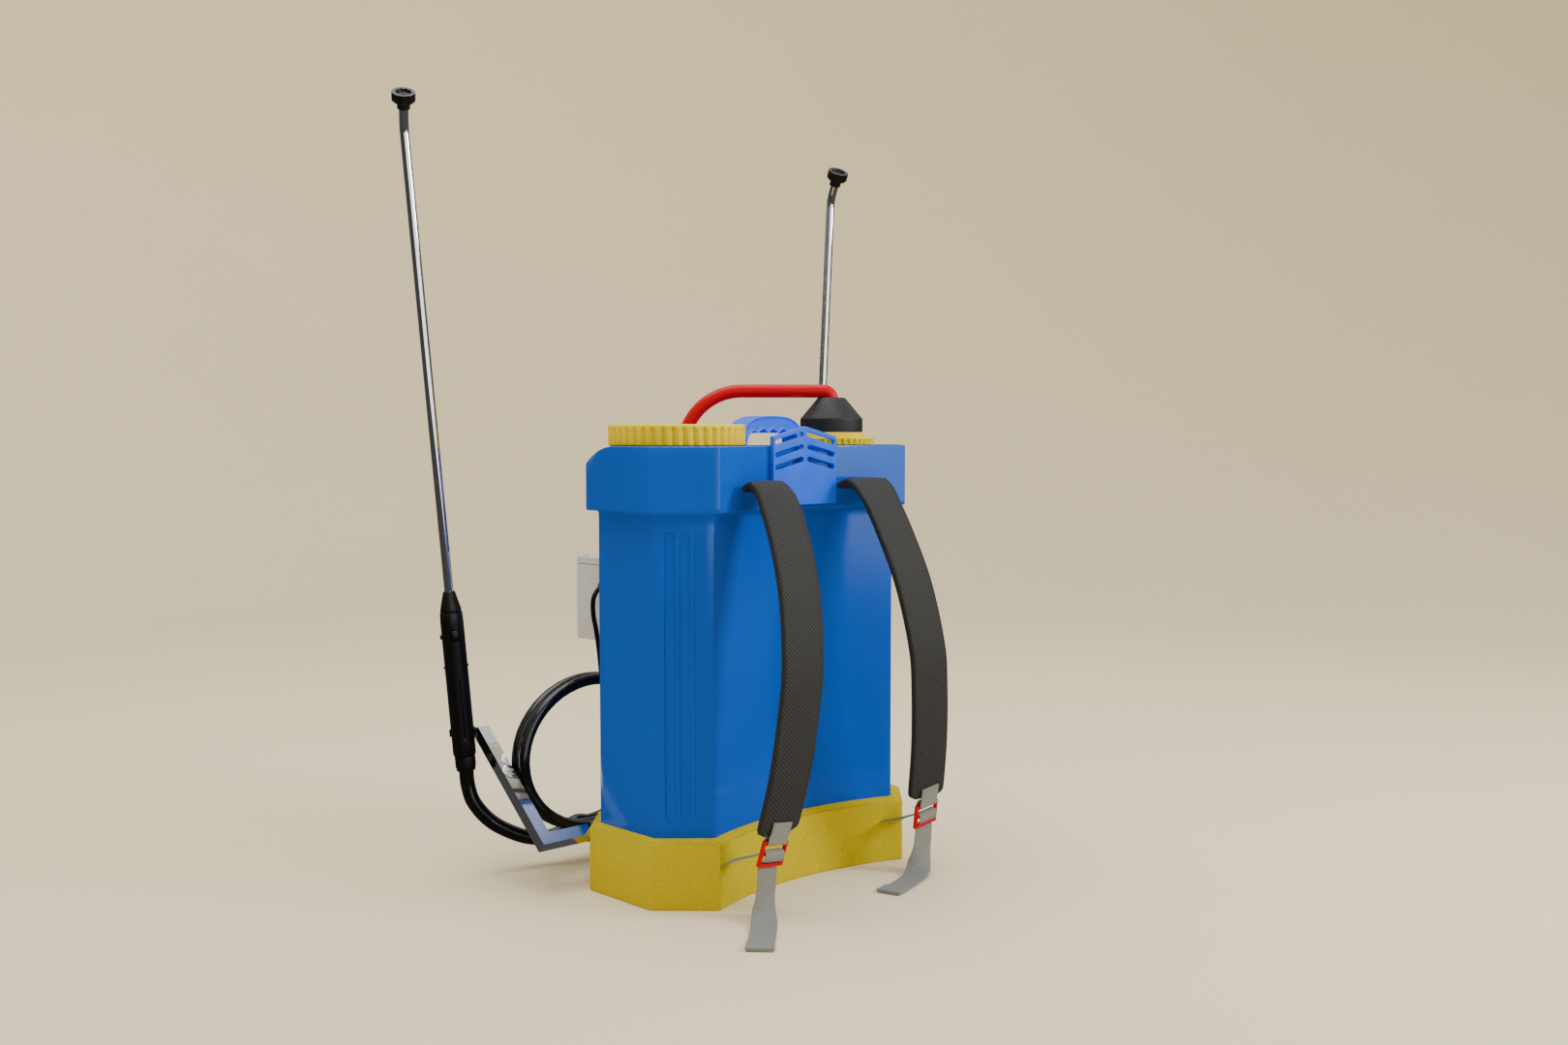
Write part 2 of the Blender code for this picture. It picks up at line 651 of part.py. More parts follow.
def make_battery(m):
    wall = BASE_DEPTH / 2 - BODY_INSET + GAP
    joint = BOX_TOP - BOX_LID
    case = block("battery_case", (BOX_LEFT, wall, BOX_BOTTOM), (BOX_RIGHT, BOX_OUTER, joint), m["grey"])
    t = 0.0025
    cut(case, block("case_cutter", (BOX_LEFT + t, wall + t, BOX_BOTTOM + t),
                    (BOX_RIGHT - t, BOX_OUTER - t, joint + 0.02), None))
    switch_low = (-0.086, BOX_OUTER - 0.010, 0.308)
    switch_high = (-0.064, BOX_OUTER + 0.010, 0.330)
    cut(case, block("switch_cutter", switch_low, switch_high, None))
    block("battery_lid", (BOX_LEFT, wall, joint + GAP), (BOX_RIGHT, BOX_OUTER, BOX_TOP), m["grey"])
    block("battery_pack", (BOX_LEFT + 0.004, wall + 0.003, BOX_BOTTOM + t + GAP),
          (BOX_RIGHT - 0.004, BOX_OUTER - 0.013, joint - 0.003), m["black"])
    outline = [(0.0, -0.0095), (0.0, 0.0095), (0.0045, 0.0090), (0.0022, 0.0), (0.0045, -0.0090)]
    base = BOX_OUTER - 0.0035
    loops = [[(x, base + y, 0.319 + z) for y, z in outline] for x in (-0.0845, -0.0655)]
    loft("rocker_switch", loops, m["red"])
    gland = [(0, 0), (GLAND_RADIUS, 0), (GLAND_RADIUS, 0.004), (0.0040, 0.009), (0, 0.009)]
    turned("cable_gland_lower", gland, (-0.126, 0.0972, LEDGE_TOP + GAP), (0, 0, 1), m["black"], 16)
    slanted = [(0, -0.008), (GLAND_RADIUS, -0.008), (GLAND_RADIUS, 0.0045), (0.0040, 0.0105), (0, 0.0105)]
    upper = turned("cable_gland_upper", slanted, GLAND_ANCHOR, GLAND_AXIS, m["black"], 16)
    cut(upper, block("gland_cutter", (BOX_LEFT - GAP, 0.080, 0.300), (BOX_RIGHT, 0.120, 0.350), None))
    cord_tube("battery_cable", smooth_route(CABLE_KNOTS, 34), CABLE_RADIUS, m["rubber"], 2)


def make_electric_pump(m):
    floor = BASE_PLATE + GAP
    pump = block("diaphragm_pump", (-0.075, -0.045, floor), (-0.035, -0.001, 0.046), m["black"])
    bevel(pump, 0.002)
    turned("pump_motor", [(0, 0), (0.0165, 0), (0.0165, 0.055), (0.006, 0.058), (0, 0.058)],
           (-0.0347, -0.023, 0.0245), (1, 0, 0), m["steel"], 24)


def make_lever(m):
    half = LEVER_SIZE / 2
    corner = Vector((LEVER_X, SHAFT_Y, SHAFT_Z))
    arm = Vector((0, ARM_END[0] - SHAFT_Y, ARM_END[1] - SHAFT_Z)).normalized()
    across = Vector((0, -arm.z, arm.y))
    end = Vector((LEVER_X, *ARM_END))
    square = [(-half, -half), (half, -half), (half, half), (-half, half)]
    lever = loft("pump_lever", [
        [corner + arm * (-half) + Vector((a, 0, 0)) + across * b for a, b in square],
        [end + Vector((a, 0, 0)) + across * b for a, b in square],
    ], m["chrome"])
    stub = loft("lever_stub", [
        [Vector((x, SHAFT_Y, SHAFT_Z)) + arm * a + across * b for a, b in square]
        for x in (LEVER_X, LEVER_INNER_X)
    ], m["chrome"])
    join(lever, stub)
    hole = half - LEVER_WALL
    inner = [(-hole, -hole), (hole, -hole), (hole, hole), (-hole, hole)]
    pocket = loft("lever_pocket", [
        [end + arm * s + Vector((a, 0, 0)) + across * b for a, b in inner] for s in (-0.030, 0.010)
    ], None)
    cut(lever, pocket)
    shaft_start = LEVER_INNER_X + GAP
    turned("lever_shaft", [(0, 0), (SHAFT_RADIUS, 0), (SHAFT_RADIUS, 0.313), (0, 0.313)],
           (shaft_start, SHAFT_Y, SHAFT_Z), (1, 0, 0), m["steel"], 20)
    bush = [(SHAFT_RADIUS + 0.0004, 0), (0.0110, 0), (0.0110, 0.022), (SHAFT_RADIUS + 0.0004, 0.022)]
    turned("shaft_bush", bush, (-0.172, SHAFT_Y, SHAFT_Z), (1, 0, 0), m["black"], 20)
    bearing = block("shaft_bearing", (0.095, SHAFT_Y - 0.012, BASE_PLATE + GAP),
                    (0.109, SHAFT_Y + 0.009, 0.0620), m["black"])
    cut(bearing, turned("bearing_cutter", [(0, -0.02), (SHAFT_RADIUS + 0.0004, -0.02),
                                           (SHAFT_RADIUS + 0.0004, 0.02), (0, 0.02)],
                        (0.102, SHAFT_Y, SHAFT_Z), (1, 0, 0), None, 20))
    make_crank(m)


def make_crank(m):
    """A flat fork from the shaft to the piston's pin; the fork is open at its end."""
    pin = Vector((0, CYLINDER_Y - SHAFT_Y, CRANK_PIN_Z - SHAFT_Z))
    along = pin.normalized()
    up = Vector((0, -along.z, along.y))
    if up.z < 0:
        up = -up
    tip = 0.0040
    fork = 0.0044
    root = Vector((0, SHAFT_Y, SHAFT_Z))
    reach = pin.length
    outline = [(0.004, -0.006), (0.030, -fork - tip), (reach + 0.008, -fork - tip), (reach + 0.008, -fork),
               (reach - 0.011, -fork), (reach - 0.011, fork), (reach + 0.008, fork),
               (reach + 0.008, fork + 0.0012), (0.030, fork + 0.003), (0.004, 0.006)]
    loops = [[root + along * a + up * b + Vector((x, 0, 0)) for a, b in outline]
             for x in (PUMP_X + 0.0045, PUMP_X + 0.0090)]
    crank = loft("crank_arm", loops, m["steel"])
    hub = [(0, -0.005), (0.0088, -0.005), (0.0088, 0.005), (0, 0.005)]
    middle = (PUMP_X + 0.00675, SHAFT_Y, SHAFT_Z)
    join(crank, turned("crank_hub", hub, middle, (1, 0, 0), None, 24))
    bore = SHAFT_RADIUS + 0.0004
    hole = [(0, -0.02), (bore, -0.02), (bore, 0.02), (0, 0.02)]
    cut(crank, turned("crank_bore", hole, middle, (1, 0, 0), None, 20))


def nozzle_cap(name, origin, axis, m):
    cup = [(0, GAP), (COLLAR_RADIUS, GAP), (COLLAR_RADIUS, 0.0025), (0.0104, 0.0030),
           (NOZZLE_RADIUS, 0.0046), (NOZZLE_RADIUS, 0.0144), (0.0075, 0.0144), (0.0075, 0.0110),
           (0, 0.0110)]
    turned(name, cup, origin, axis, m["black"], 24)


def make_lance(m):
    foot = GRIP_BOTTOM
    axis = LANCE_AXIS
    ferrule = [(0, -0.0173), (0.0088, -0.0173), (0.0100, -0.012), (0.0100, -GAP), (0, -GAP)]
    turned("hose_ferrule", ferrule, foot, axis, m["black"], 24)
    r = GRIP_RADIUS
    body = [(0, 0), (r - 0.001, 0), (r, 0.002), (r, GRIP_LENGTH - 0.010), (r - 0.0005, GRIP_LENGTH),
            (0, GRIP_LENGTH)]
    grip = turned("grip_body", body, foot, axis, m["black"], 28)
    toward = (TRIGGER_FACING - axis * axis.dot(TRIGGER_FACING)).normalized()
    spot = foot + axis * TRIGGER_HEIGHT + toward * r
    frame_side = axis.cross(toward)
    button_hole = 0.0065
    loops = [[spot + toward * d + axis * (a * button_hole) + frame_side * (b * 0.0045)
              for a, b in ((-1, -1), (1, -1), (1, 1), (-1, 1))] for d in (-0.0075, 0.010)]
    cut(grip, loft("button_cutter", loops, None))
    button = 0.0060
    loops = [[spot + toward * d + axis * (a * button) + frame_side * (b * 0.0040)
              for a, b in ((-1, -1), (1, -1), (1, 1), (-1, 1))] for d in (-0.0040, 0.0042)]
    loft("trigger_button", loops, m["black"])
    nose = [(LANCE_RADIUS + 0.0004, 0.0003), (r - 0.001, 0.0003), (r - 0.001, 0.003),
            (0.0066, NOSE_LENGTH), (LANCE_RADIUS + 0.0004, NOSE_LENGTH)]
    turned("grip_nose", nose, foot + axis * GRIP_LENGTH, axis, m["black"], 24)
    start = foot + axis * (GRIP_LENGTH + 0.0006)
    bend = foot + axis * LANCE_BEND
    lance_tube("lance_tube", start, bend, axis, TIP_AXIS, m)
    make_nozzle("", bend, TIP_AXIS, m)
    make_clip(m)


def lance_tube(name, start, bend, axis, tip_axis, m):
    knee = 0.012
    low = bend - axis * knee
    high = bend + tip_axis * knee
    route = [start, low]
    for i in range(1, 4):
        t = i / 4
        route.append(low * (1 - t) ** 2 + bend * 2 * t * (1 - t) + high * t * t)
    route.append(high)
    route.append(bend + tip_axis * (NOZZLE_START - GAP))
    side = axis.cross(tip_axis).normalized()
    swept(name, route, round_outline(LANCE_RADIUS, 14), [side] * len(route), m["chrome"])


def make_nozzle(prefix, bend, tip_axis, m):
    base = bend + tip_axis * NOZZLE_START
    core = [(0, 0), (COLLAR_RADIUS, 0), (COLLAR_RADIUS, COLLAR_HEIGHT), (0, COLLAR_HEIGHT)]
    turned(prefix + "nozzle_body", core, base, tip_axis, m["black"], 20)
    nozzle_cap(prefix + "nozzle_cap", base + tip_axis * COLLAR_HEIGHT, tip_axis, m)


def make_clip(m):
    """An open clip round the back of the grip, on a plug pressed into the lever's hollow end."""
    centre = GRIP_BOTTOM + LANCE_AXIS * CLIP_HEIGHT
    inner = GRIP_RADIUS + 0.0004
    outer = inner + CLIP_WALL
    half = CLIP_WIDTH / 2
    sleeve = [(inner, -half), (outer, -half), (outer, half), (inner, half)]
    clip = turned("lance_clip", sleeve, centre, LANCE_AXIS, m["black"], 28)
    mouth = Vector((-1, -1, 0)).normalized()
    mouth_frame = (centre, Vector((1, -1, 0)).normalized(), LANCE_AXIS, mouth, 0)
    cut(clip, framed_block("clip_mouth", mouth_frame, (-0.03, 0.03), (-0.02, 0.02), (0.0022, 0.03), None))
    along = Vector((0, ARM_END[0] - SHAFT_Y, ARM_END[1] - SHAFT_Z)).normalized()
    across = Vector((0, -along.z, along.y))
    end = Vector((LEVER_X, *ARM_END))
    plug = LEVER_SIZE / 2 - LEVER_WALL - GAP
    post = plug - 0.0004
    reach = LEVER_X - centre.x - inner - CLIP_WALL / 4
    outline = [(-reach, 0.0004), (-post, 0.0004), (-post, -0.006), (0.002, -0.006), (0.002, 0.0028),
               (-reach, 0.0028)]
    loops = [[end + Vector((a, 0, 0)) + along * b + across * c for a, b in outline] for c in (-0.003, 0.003)]
    join(clip, loft("clip_arm", loops, None))
    plug_frame = (end, Vector((1, 0, 0)), across, along, 0)
    join(clip, framed_block("clip_plug", plug_frame, (-plug, plug), (-plug, plug), (-0.012, -0.0035), None))


def make_spare_lance(m):
    axis = SPARE_AXIS
    start = SPARE_BEND - axis * SPARE_LENGTH
    lance_tube("spare_lance_tube", start + axis * 0.0004, SPARE_BEND, axis, SPARE_TIP_AXIS, m)
    make_nozzle("spare_", SPARE_BEND, SPARE_TIP_AXIS, m)
    nut = [(0, -0.022), (0.0085, -0.022), (0.0095, -0.020), (0.0095, -0.004), (0.0070, 0.0), (0, 0.0)]
    turned("spare_coupling_nut", nut, start, axis, m["black"], 20)
    outward = Vector((1, 1, 0)).normalized()
    for label, height, inset in (("upper", 0.440, -BAND_OUTSET), ("lower", 0.310, BODY_INSET)):
        centre = SPARE_BEND + axis * ((height - SPARE_BEND.z) / axis.z)
        face_sum = BASE_WIDTH / 2 + BASE_DEPTH / 2 - CORNER_CHAMFER - math.sqrt(2) * inset
        gap_to_wall = (centre.x + centre.y - face_sum) / math.sqrt(2)
        ring = [(LANCE_RADIUS + 0.0004, -0.007), (LANCE_RADIUS + 0.0030, -0.007),
                (LANCE_RADIUS + 0.0030, 0.007), (LANCE_RADIUS + 0.0004, 0.007)]
        clip = turned(f"spare_clip_{label}", ring, centre, axis, m["black"], 20)
        sideways = Vector((-1, 1, 0)).normalized()
        near = LANCE_RADIUS + 0.0012
        far = gap_to_wall - GAP
        corners = [(near, -0.004), (far, -0.004), (far, 0.004), (near, 0.004)]
        loops = [[centre - outward * a + sideways * b + Vector((0, 0, z)) for a, b in corners]
                 for z in (-0.0065, 0.0065)]
        join(clip, loft(f"spare_clip_post_{label}", loops, None))


def make_hook(m):
    wall = BASE_DEPTH / 2 - BODY_INSET + GAP
    x = HOOK_X
    slope = (HOOK_X + 0.006 - COIL_CENTRE[0]) / COIL_RADII[0]
    top = COIL_CENTRE[1] + COIL_RADII[1] * math.sqrt(1 - slope * slope) - HOSE_RADIUS - 0.003
    points = [(wall, top - 0.010), (0.178, top - 0.010), (0.178, top + 0.012), (0.173, top + 0.012),
              (0.173, top), (wall + 0.004, top), (wall + 0.004, top + 0.012), (wall, top + 0.012)]
    loops = [[(x + s, y, z) for y, z in points] for s in (-0.006, 0.006)]
    loft("hose_hook", loops, m["black"])


def ring_point(angle, radius_in, y):
    x, z = COIL_CENTRE
    a, b = COIL_RADII
    return (x + (a + radius_in) * math.sin(angle), y, z - (b + radius_in) * math.cos(angle))


def make_hose(m):
    y_high = COIL_START_Y + HOSE_RADIUS
    y_low = COIL_START_Y - COIL_PITCH * COIL_TURNS - HOSE_RADIUS
    r = HOSE_RADIUS
    corner = 0.0035
    section = [(-r, y_low + corner), (-r + corner, y_low), (r - corner, y_low), (r, y_low + corner),
               (r, y_high - corner), (r - corner, y_high), (-r + corner, y_high), (-r, y_high - corner)]
    steps = 44
    loops = [[ring_point(2 * math.pi * i / steps, s, y) for s, y in section] for i in range(steps)]
    loft("hose_coil", loops, m["rubber"], closed=True)
    cord_tube("hose_tail", smooth_route(TAIL_KNOTS, 12), HOSE_RADIUS, m["rubber"], 3)
    cord_tube("hose_lead", smooth_route(LEAD_KNOTS, 6), HOSE_RADIUS, m["rubber"], 3)


def mirrored(points, sign):
    return [Vector((sign * p[0], p[1], p[2])) for p in points]


def make_strap(side, m):
    sign = -1 if side == "left" else 1
    route = smooth_route(mirrored(PAD_KNOTS, sign), 30)
    level = Vector((1, 0, 0))
    wall_side = Vector((1, -sign * 0.211, 0)).normalized()
    sides = []
    for i in range(len(route)):
        share = min(i / 4, 1.0)
        sides.append(wall_side.lerp(level, share))
    half = PAD_WIDTH / 2
    outline = [(-half, -PAD_THICK), (half, -PAD_THICK), (half, 0), (-half, 0)]
    facing = directions(route)[10].cross(level)
    if facing.y > 0:
        outline = [(-half, 0), (half, 0), (half, PAD_THICK), (-half, PAD_THICK)]
    swept(f"strap_pad_{side}", route, outline, sides, m["mesh"], square=False)
    make_buckle(side, sign, m)
    make_webs(side, sign, m)


def buckle_frame(sign):
    top = Vector((sign * BUCKLE_TOP.x, BUCKLE_TOP.y, BUCKLE_TOP.z))
    bottom = Vector((sign * BUCKLE_BOTTOM.x, BUCKLE_BOTTOM.y, BUCKLE_BOTTOM.z))
    up = (top - bottom).normalized()
    side = Vector((1, 0, 0)) - up * up.x
    side.normalize()
    normal = side.cross(up)
    return (top + bottom) / 2, side, up, normal, (top - bottom).length


def framed_block(name, frame, side_span, up_span, normal_span, material):
    centre, side, up, normal, _ = frame
    corners = [(side_span[0], up_span[0]), (side_span[1], up_span[0]),
               (side_span[1], up_span[1]), (side_span[0], up_span[1])]
    loops = [[centre + side * a + up * b + normal * n for a, b in corners] for n in normal_span]
    return loft(name, loops, material)


def make_buckle(side, sign, m):
    frame = buckle_frame(sign)
    half_up = frame[4] / 2
    wide = BUCKLE_HALF
    thick = BUCKLE_THICK / 2
    rail = BUCKLE_RAIL
    name = f"buckle_{side}"
    buckle = framed_block(name, frame, (-wide, wide), (-half_up, half_up), (-thick, thick), m["red"])
    bar = BUCKLE_BAR / 2
    inside = (-wide + rail, wide - rail)
    for label, low, high in (("top", bar, half_up - rail), ("bottom", -half_up + rail, -bar)):
        cut(buckle, framed_block(f"{name}_slot_{label}", frame, inside, (low, high), (-0.01, 0.01), None))


def make_webs(side, sign, m):
    frame = buckle_frame(sign)
    half_up = frame[4] / 2
    tab_high = 0.0045
    framed_block(f"strap_tab_{side}", frame, (-WEB_WIDTH / 2, WEB_WIDTH / 2),
                 (half_up + 0.0004, half_up + tab_high), (-WEB_THICK / 2, WEB_THICK / 2), m["webbing"])
    lower = smooth_route(mirrored(LOWER_WEB_KNOTS, sign), 8)
    outline = [(-WEB_WIDTH / 2, -WEB_THICK / 2), (WEB_WIDTH / 2, -WEB_THICK / 2),
               (WEB_WIDTH / 2, WEB_THICK / 2), (-WEB_WIDTH / 2, WEB_THICK / 2)]
    level = Vector((1, 0, 0))
    wall_side = Vector((1, -sign * 0.34, 0)).normalized()
    sides = [wall_side.lerp(level, min(i / 4, 1.0)) for i in range(len(lower))]
    swept(f"lower_web_{side}", lower, outline, sides, m["webbing"], square=False)
    knots = TAIL_WEB[side]
    route = smooth_route([(x, y, z + WEB_THICK / 2) for x, y, z in knots], 22)
    heading = Vector(knots[-1]) - Vector(knots[-2])
    laid = Vector((-heading.y, heading.x, 0)).normalized()
    if laid.x < 0:
        laid = -laid
    sides = []
    for i in range(len(route)):
        share = min(max((i - 2) / 9, 0.0), 1.0)
        sides.append(level.lerp(laid, share))
    swept(f"web_tail_{side}", route, outline, sides, m["webbing"])


def main():
    clear_scene()
    m = make_materials()
    make_tank(m)
    make_base(m)
    make_lid(m)
    make_pump_head(m)
    make_delivery(m)
    make_handle(m)
    make_plate(m)
    make_battery(m)
    make_electric_pump(m)
    make_lever(m)
    make_lance(m)
    make_spare_lance(m)
    make_hook(m)
    make_hose(m)
    for side in ("left", "right"):
        make_strap(side, m)


main()
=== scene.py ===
"""The looks of the backpack sprayer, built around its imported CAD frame.

Metres, +Z up, in the CAD's own frame: the origin is at the centre of the base's underside, the wearer's back
is on the -Y side, and the pump lever is on the -X side.
"""

from math import atan2, copysign, cos, exp, pi, radians, sin, sqrt, tan

import bmesh
import bpy
from mathutils import Matrix, Vector


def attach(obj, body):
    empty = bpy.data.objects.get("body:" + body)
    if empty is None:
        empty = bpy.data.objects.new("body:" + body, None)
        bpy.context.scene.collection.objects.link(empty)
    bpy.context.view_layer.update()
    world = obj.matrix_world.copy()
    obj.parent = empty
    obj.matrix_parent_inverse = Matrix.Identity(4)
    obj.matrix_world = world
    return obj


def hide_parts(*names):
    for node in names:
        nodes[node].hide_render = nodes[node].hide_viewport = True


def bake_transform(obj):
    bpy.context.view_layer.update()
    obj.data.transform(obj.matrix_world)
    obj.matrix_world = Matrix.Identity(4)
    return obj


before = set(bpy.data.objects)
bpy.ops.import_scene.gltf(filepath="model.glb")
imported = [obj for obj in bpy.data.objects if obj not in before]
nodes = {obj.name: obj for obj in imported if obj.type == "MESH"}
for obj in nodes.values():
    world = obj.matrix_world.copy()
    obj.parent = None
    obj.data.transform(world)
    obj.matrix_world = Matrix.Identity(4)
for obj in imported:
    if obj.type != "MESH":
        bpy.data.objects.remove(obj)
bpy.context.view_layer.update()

# Tank and base, as in the CAD
BASE_WIDTH = 0.386
BASE_DEPTH = 0.2057
CORNER_CHAMFER = 0.052
BACK_HOLLOW = 0.028
RIM_TOP = 0.0685
LEDGE_TOP = 0.073
BODY_INSET = 0.0115
BASE_WALL = 0.003
TANK_BOTTOM = 0.0703
TANK_TOP = 0.480
BAND_BOTTOM = 0.4115
BAND_START = 0.4170
BAND_OUTSET = 0.0011
SHOULDER_START = 0.005
SHOULDER_RADIUS = 0.067
SHOULDER_ANGLE = radians(40)
SHAFT_HOLE = (0.080, 0.054, 0.0113)

# Filling lid and neck
LID_X = -0.1105
LID_RADIUS = 0.0738
LID_LOW = 0.4806
LID_TOP = 0.503
LID_RIBS = 42
LID_RIB_DEPTH = 0.0034
NECK_RADIUS = 0.0612
NECK_BORE = 0.056
NECK_TOP = 0.494
COLLAR_RADIUS = 0.072

# Hand pump
PUMP_X = 0.1277
RING_RADIUS = 0.0498
RING_TOP = 0.4885
RING_RIBS = 40
RING_RIB_DEPTH = 0.0022
DISC_RADIUS = 0.0391
DISC_TOP = 0.4942
DOME_RADIUS = 0.0368
DOME_TOP_RADIUS = 0.016
DOME_SHOULDER = 0.5104
DOME_TOP = 0.5353

# Delivery pipe
PIPE_RADIUS = 0.0078
PIPE_LEVEL = 0.543
PIPE_END = (-0.0047, 0.1156)
PIPE_ARC = 0.070
PIPE_BEND = 0.0095
PIPE_BOTTOM = 0.266

# Carry handle
HANDLE_X = 0.020
HANDLE_HALF = 0.047
HANDLE_LEG = 0.0075
HANDLE_TOP = 0.513
HANDLE_WIDTH = 0.028
HANDLE_OPENING = 0.0155
HANDLE_WAVE = 0.0021
HANDLE_WAVE_PITCH = 0.0157

# Slotted plate
PLATE_FRONT = -0.0855
PLATE_BACK = -0.0796
PLATE_HALF = 0.0480
PLATE_BOTTOM = 0.416
PLATE_EAVE = 0.490
PLATE_PEAK = 0.501
SLOT_PITCH = 0.0135
SLOT_HALF = 0.0028

# Grooves in the tank's two back corners
FLUTE_PITCH = 0.0154
FLUTE_HALF = 0.0060
FLUTE_LOW = 0.088
FLUTE_HIGH = 0.392
FLUTE_DEPTH = 0.0020

# Battery box
BOX_LEFT = -0.130
BOX_RIGHT = -0.020
BOX_OUTER = 0.1565
BOX_BOTTOM = 0.259
BOX_TOP = 0.3535
BOX_LID = 0.009
BOX_WALL_Y = BASE_DEPTH / 2 - BODY_INSET + 0.0003

# Lance
GRIP_BOTTOM = Vector((-0.2536, 0.200, 0.134))
LANCE_AXIS = Vector((-0.0953, 0.0, 0.9954)).normalized()
TIP_AXIS = Vector((-0.287, -0.489, 0.824)).normalized()
GRIP_RADIUS = 0.0127
GRIP_LENGTH = 0.163
NOSE_LENGTH = 0.023
LANCE_RADIUS = 0.005
LANCE_BEND = 0.689
TRIGGER_HEIGHT = 0.138
TRIGGER_FACING = Vector((-0.41, -0.912, 0.0))
NOZZLE_RADIUS = 0.0125
NOZZLE_START = 0.0200
NOZZLE_COLLAR = (0.0069, 0.0040)

# Spare lance
SPARE_BEND = Vector((0.2046, 0.077, 0.782))
SPARE_AXIS = Vector((0.058, 0.0, 1.0)).normalized()
SPARE_TIP_AXIS = Vector((-0.161, -0.507, 0.846)).normalized()
SPARE_LENGTH = 0.515

# Hose, from the coupling to the lance
HOSE_RADIUS = 0.0065
HOSE_TAIL_RADIUS = 0.0082
COIL_CENTRE = (-0.116, 0.1264)
COIL_RADII = (0.099, 0.0844)
COIL_START_Y = 0.164
COIL_TURNS = 2.25
COIL_PITCH = 0.0133
LEAD_KNOTS = [
    (-0.0047, 0.1156, 0.2392), (-0.0047, 0.1156, 0.231), (-0.0048, 0.1163, 0.222), (-0.0070, 0.1235, 0.200),
    (-0.0103, 0.1310, 0.176),
]
TAIL_KNOTS = [
    (-0.150, 0.1655, 0.0335), (-0.172, 0.170, 0.0308), (-0.197, 0.178, 0.0372), (-0.2264, 0.188, 0.0553),
    (-0.2447, 0.196, 0.079), (-0.2503, 0.1997, 0.100), (-0.2519, 0.200, 0.1164),
]

# Battery cable
CABLE_RADIUS = 0.00275
CABLE_KNOTS = [
    (-0.13934, 0.1005, 0.32091), (-0.14130, 0.1008, 0.31915), (-0.14385, 0.1018, 0.31560),
    (-0.14555, 0.1026, 0.31114), (-0.14642, 0.1036, 0.30471), (-0.1452, 0.1045, 0.290), (-0.1410, 0.105, 0.272),
    (-0.1372, 0.105, 0.248), (-0.1345, 0.104, 0.215), (-0.1315, 0.1025, 0.175), (-0.1285, 0.100, 0.135),
    (-0.1265, 0.0978, 0.105), (-0.126, 0.0972, 0.0826),
]

# Straps, for the right side
PAD_WIDTH = 0.056
PAD_THICK = 0.008
PAD_SEAM = 0.0258
WEB_WIDTH = 0.027
TAB_THICK = 0.0014
STRAP_THICK = 0.0016
HEM_THICK = 0.0022
STRAP_LIFT = 0.0011
BUCKLE_TOP = Vector((0.1166, -0.1605, 0.081))
BUCKLE_BOTTOM = Vector((0.1204, -0.1544, 0.054))
BUCKLE_HALF = 0.0175
PAD_KNOTS = [
    (0.0768, -0.0893, 0.4385), (0.0768, -0.0965, 0.4423), (0.0768, -0.1060, 0.4435), (0.0770, -0.1228, 0.4300),
    (0.0805, -0.1456, 0.3900), (0.0875, -0.1690, 0.3300), (0.0955, -0.1820, 0.2620), (0.1005, -0.1820, 0.2150),
    (0.1072, -0.1760, 0.1500), (0.1150, -0.1640, 0.0870),
]
LOWER_WEB_KNOTS = [(0.1262, -0.0985, 0.0475), (0.1241, -0.1162, 0.0542), (0.1221, -0.1338, 0.0608)]
TAIL_WEB = {
    "left": [(-0.1214, -0.1525, 0.0400), (-0.1235, -0.1525, 0.0240), (-0.1290, -0.1570, 0.0100),
             (-0.1380, -0.1660, 0.0030), (-0.1500, -0.1780, 0.0006), (-0.1740, -0.2010, 0.0004),
             (-0.1990, -0.2240, 0.0004)],
    "right": [(0.1204, -0.1525, 0.0400), (0.1175, -0.1530, 0.0240), (0.1105, -0.1560, 0.0105),
              (0.1000, -0.1610, 0.0035), (0.0860, -0.1665, 0.0006), (0.0580, -0.1755, 0.0004),
              (0.0270, -0.1840, 0.0004)],
}

# Camera
CAMERA_PLACE = (-1.1897, -1.2841, 0.4952)
CAMERA_HEADING = (0.6945, 0.7195)
CAMERA_PITCH = 0.0585
CAMERA_LENS = 35.62

# Studio
FLOOR = (0.86, 0.76, 0.52)
SOFT_BOX = (-0.052, -0.9986, 0.0)
BOX_LIGHT = 1.9
SKY = 0.80
SHADE = 0.08

UP = Vector((0, 0, 1))


# Materials


def add_node(tree, kind, inputs=None, **settings):
    node = tree.nodes.new("ShaderNode" + kind)
    for key, value in settings.items():
        setattr(node, key, value)
    for key, value in (inputs or {}).items():
        node.inputs[key].default_value = value
    return node


def new_material(name, colour, roughness, metallic=0.0, **sockets):
    material = bpy.data.materials.new(name)
    material.use_nodes = True
    tree = material.node_tree
    shader = tree.nodes["Principled BSDF"]
    shader.inputs["Base Color"].default_value = (*colour, 1.0)
    shader.inputs["Roughness"].default_value = roughness
    shader.inputs["Metallic"].default_value = metallic
    for key, value in sockets.items():
        shader.inputs[key.replace("_", " ")].default_value = value
    return material, tree, shader


def noise(tree, coordinate, scale, detail=2.0, roughness=0.5):
    node = add_node(tree, "TexNoise", {"Scale": scale, "Detail": detail, "Roughness": roughness})
    tree.links.new(coordinate, node.inputs["Vector"])
    return node.outputs["Fac"]


def spread_value(tree, value, low, high, from_low=0.3, from_high=0.7):
    node = add_node(tree, "MapRange", {"From Min": from_low, "From Max": from_high,
                                                 "To Min": low, "To Max": high})
    tree.links.new(value, node.inputs["Value"])
    return node.outputs["Result"]


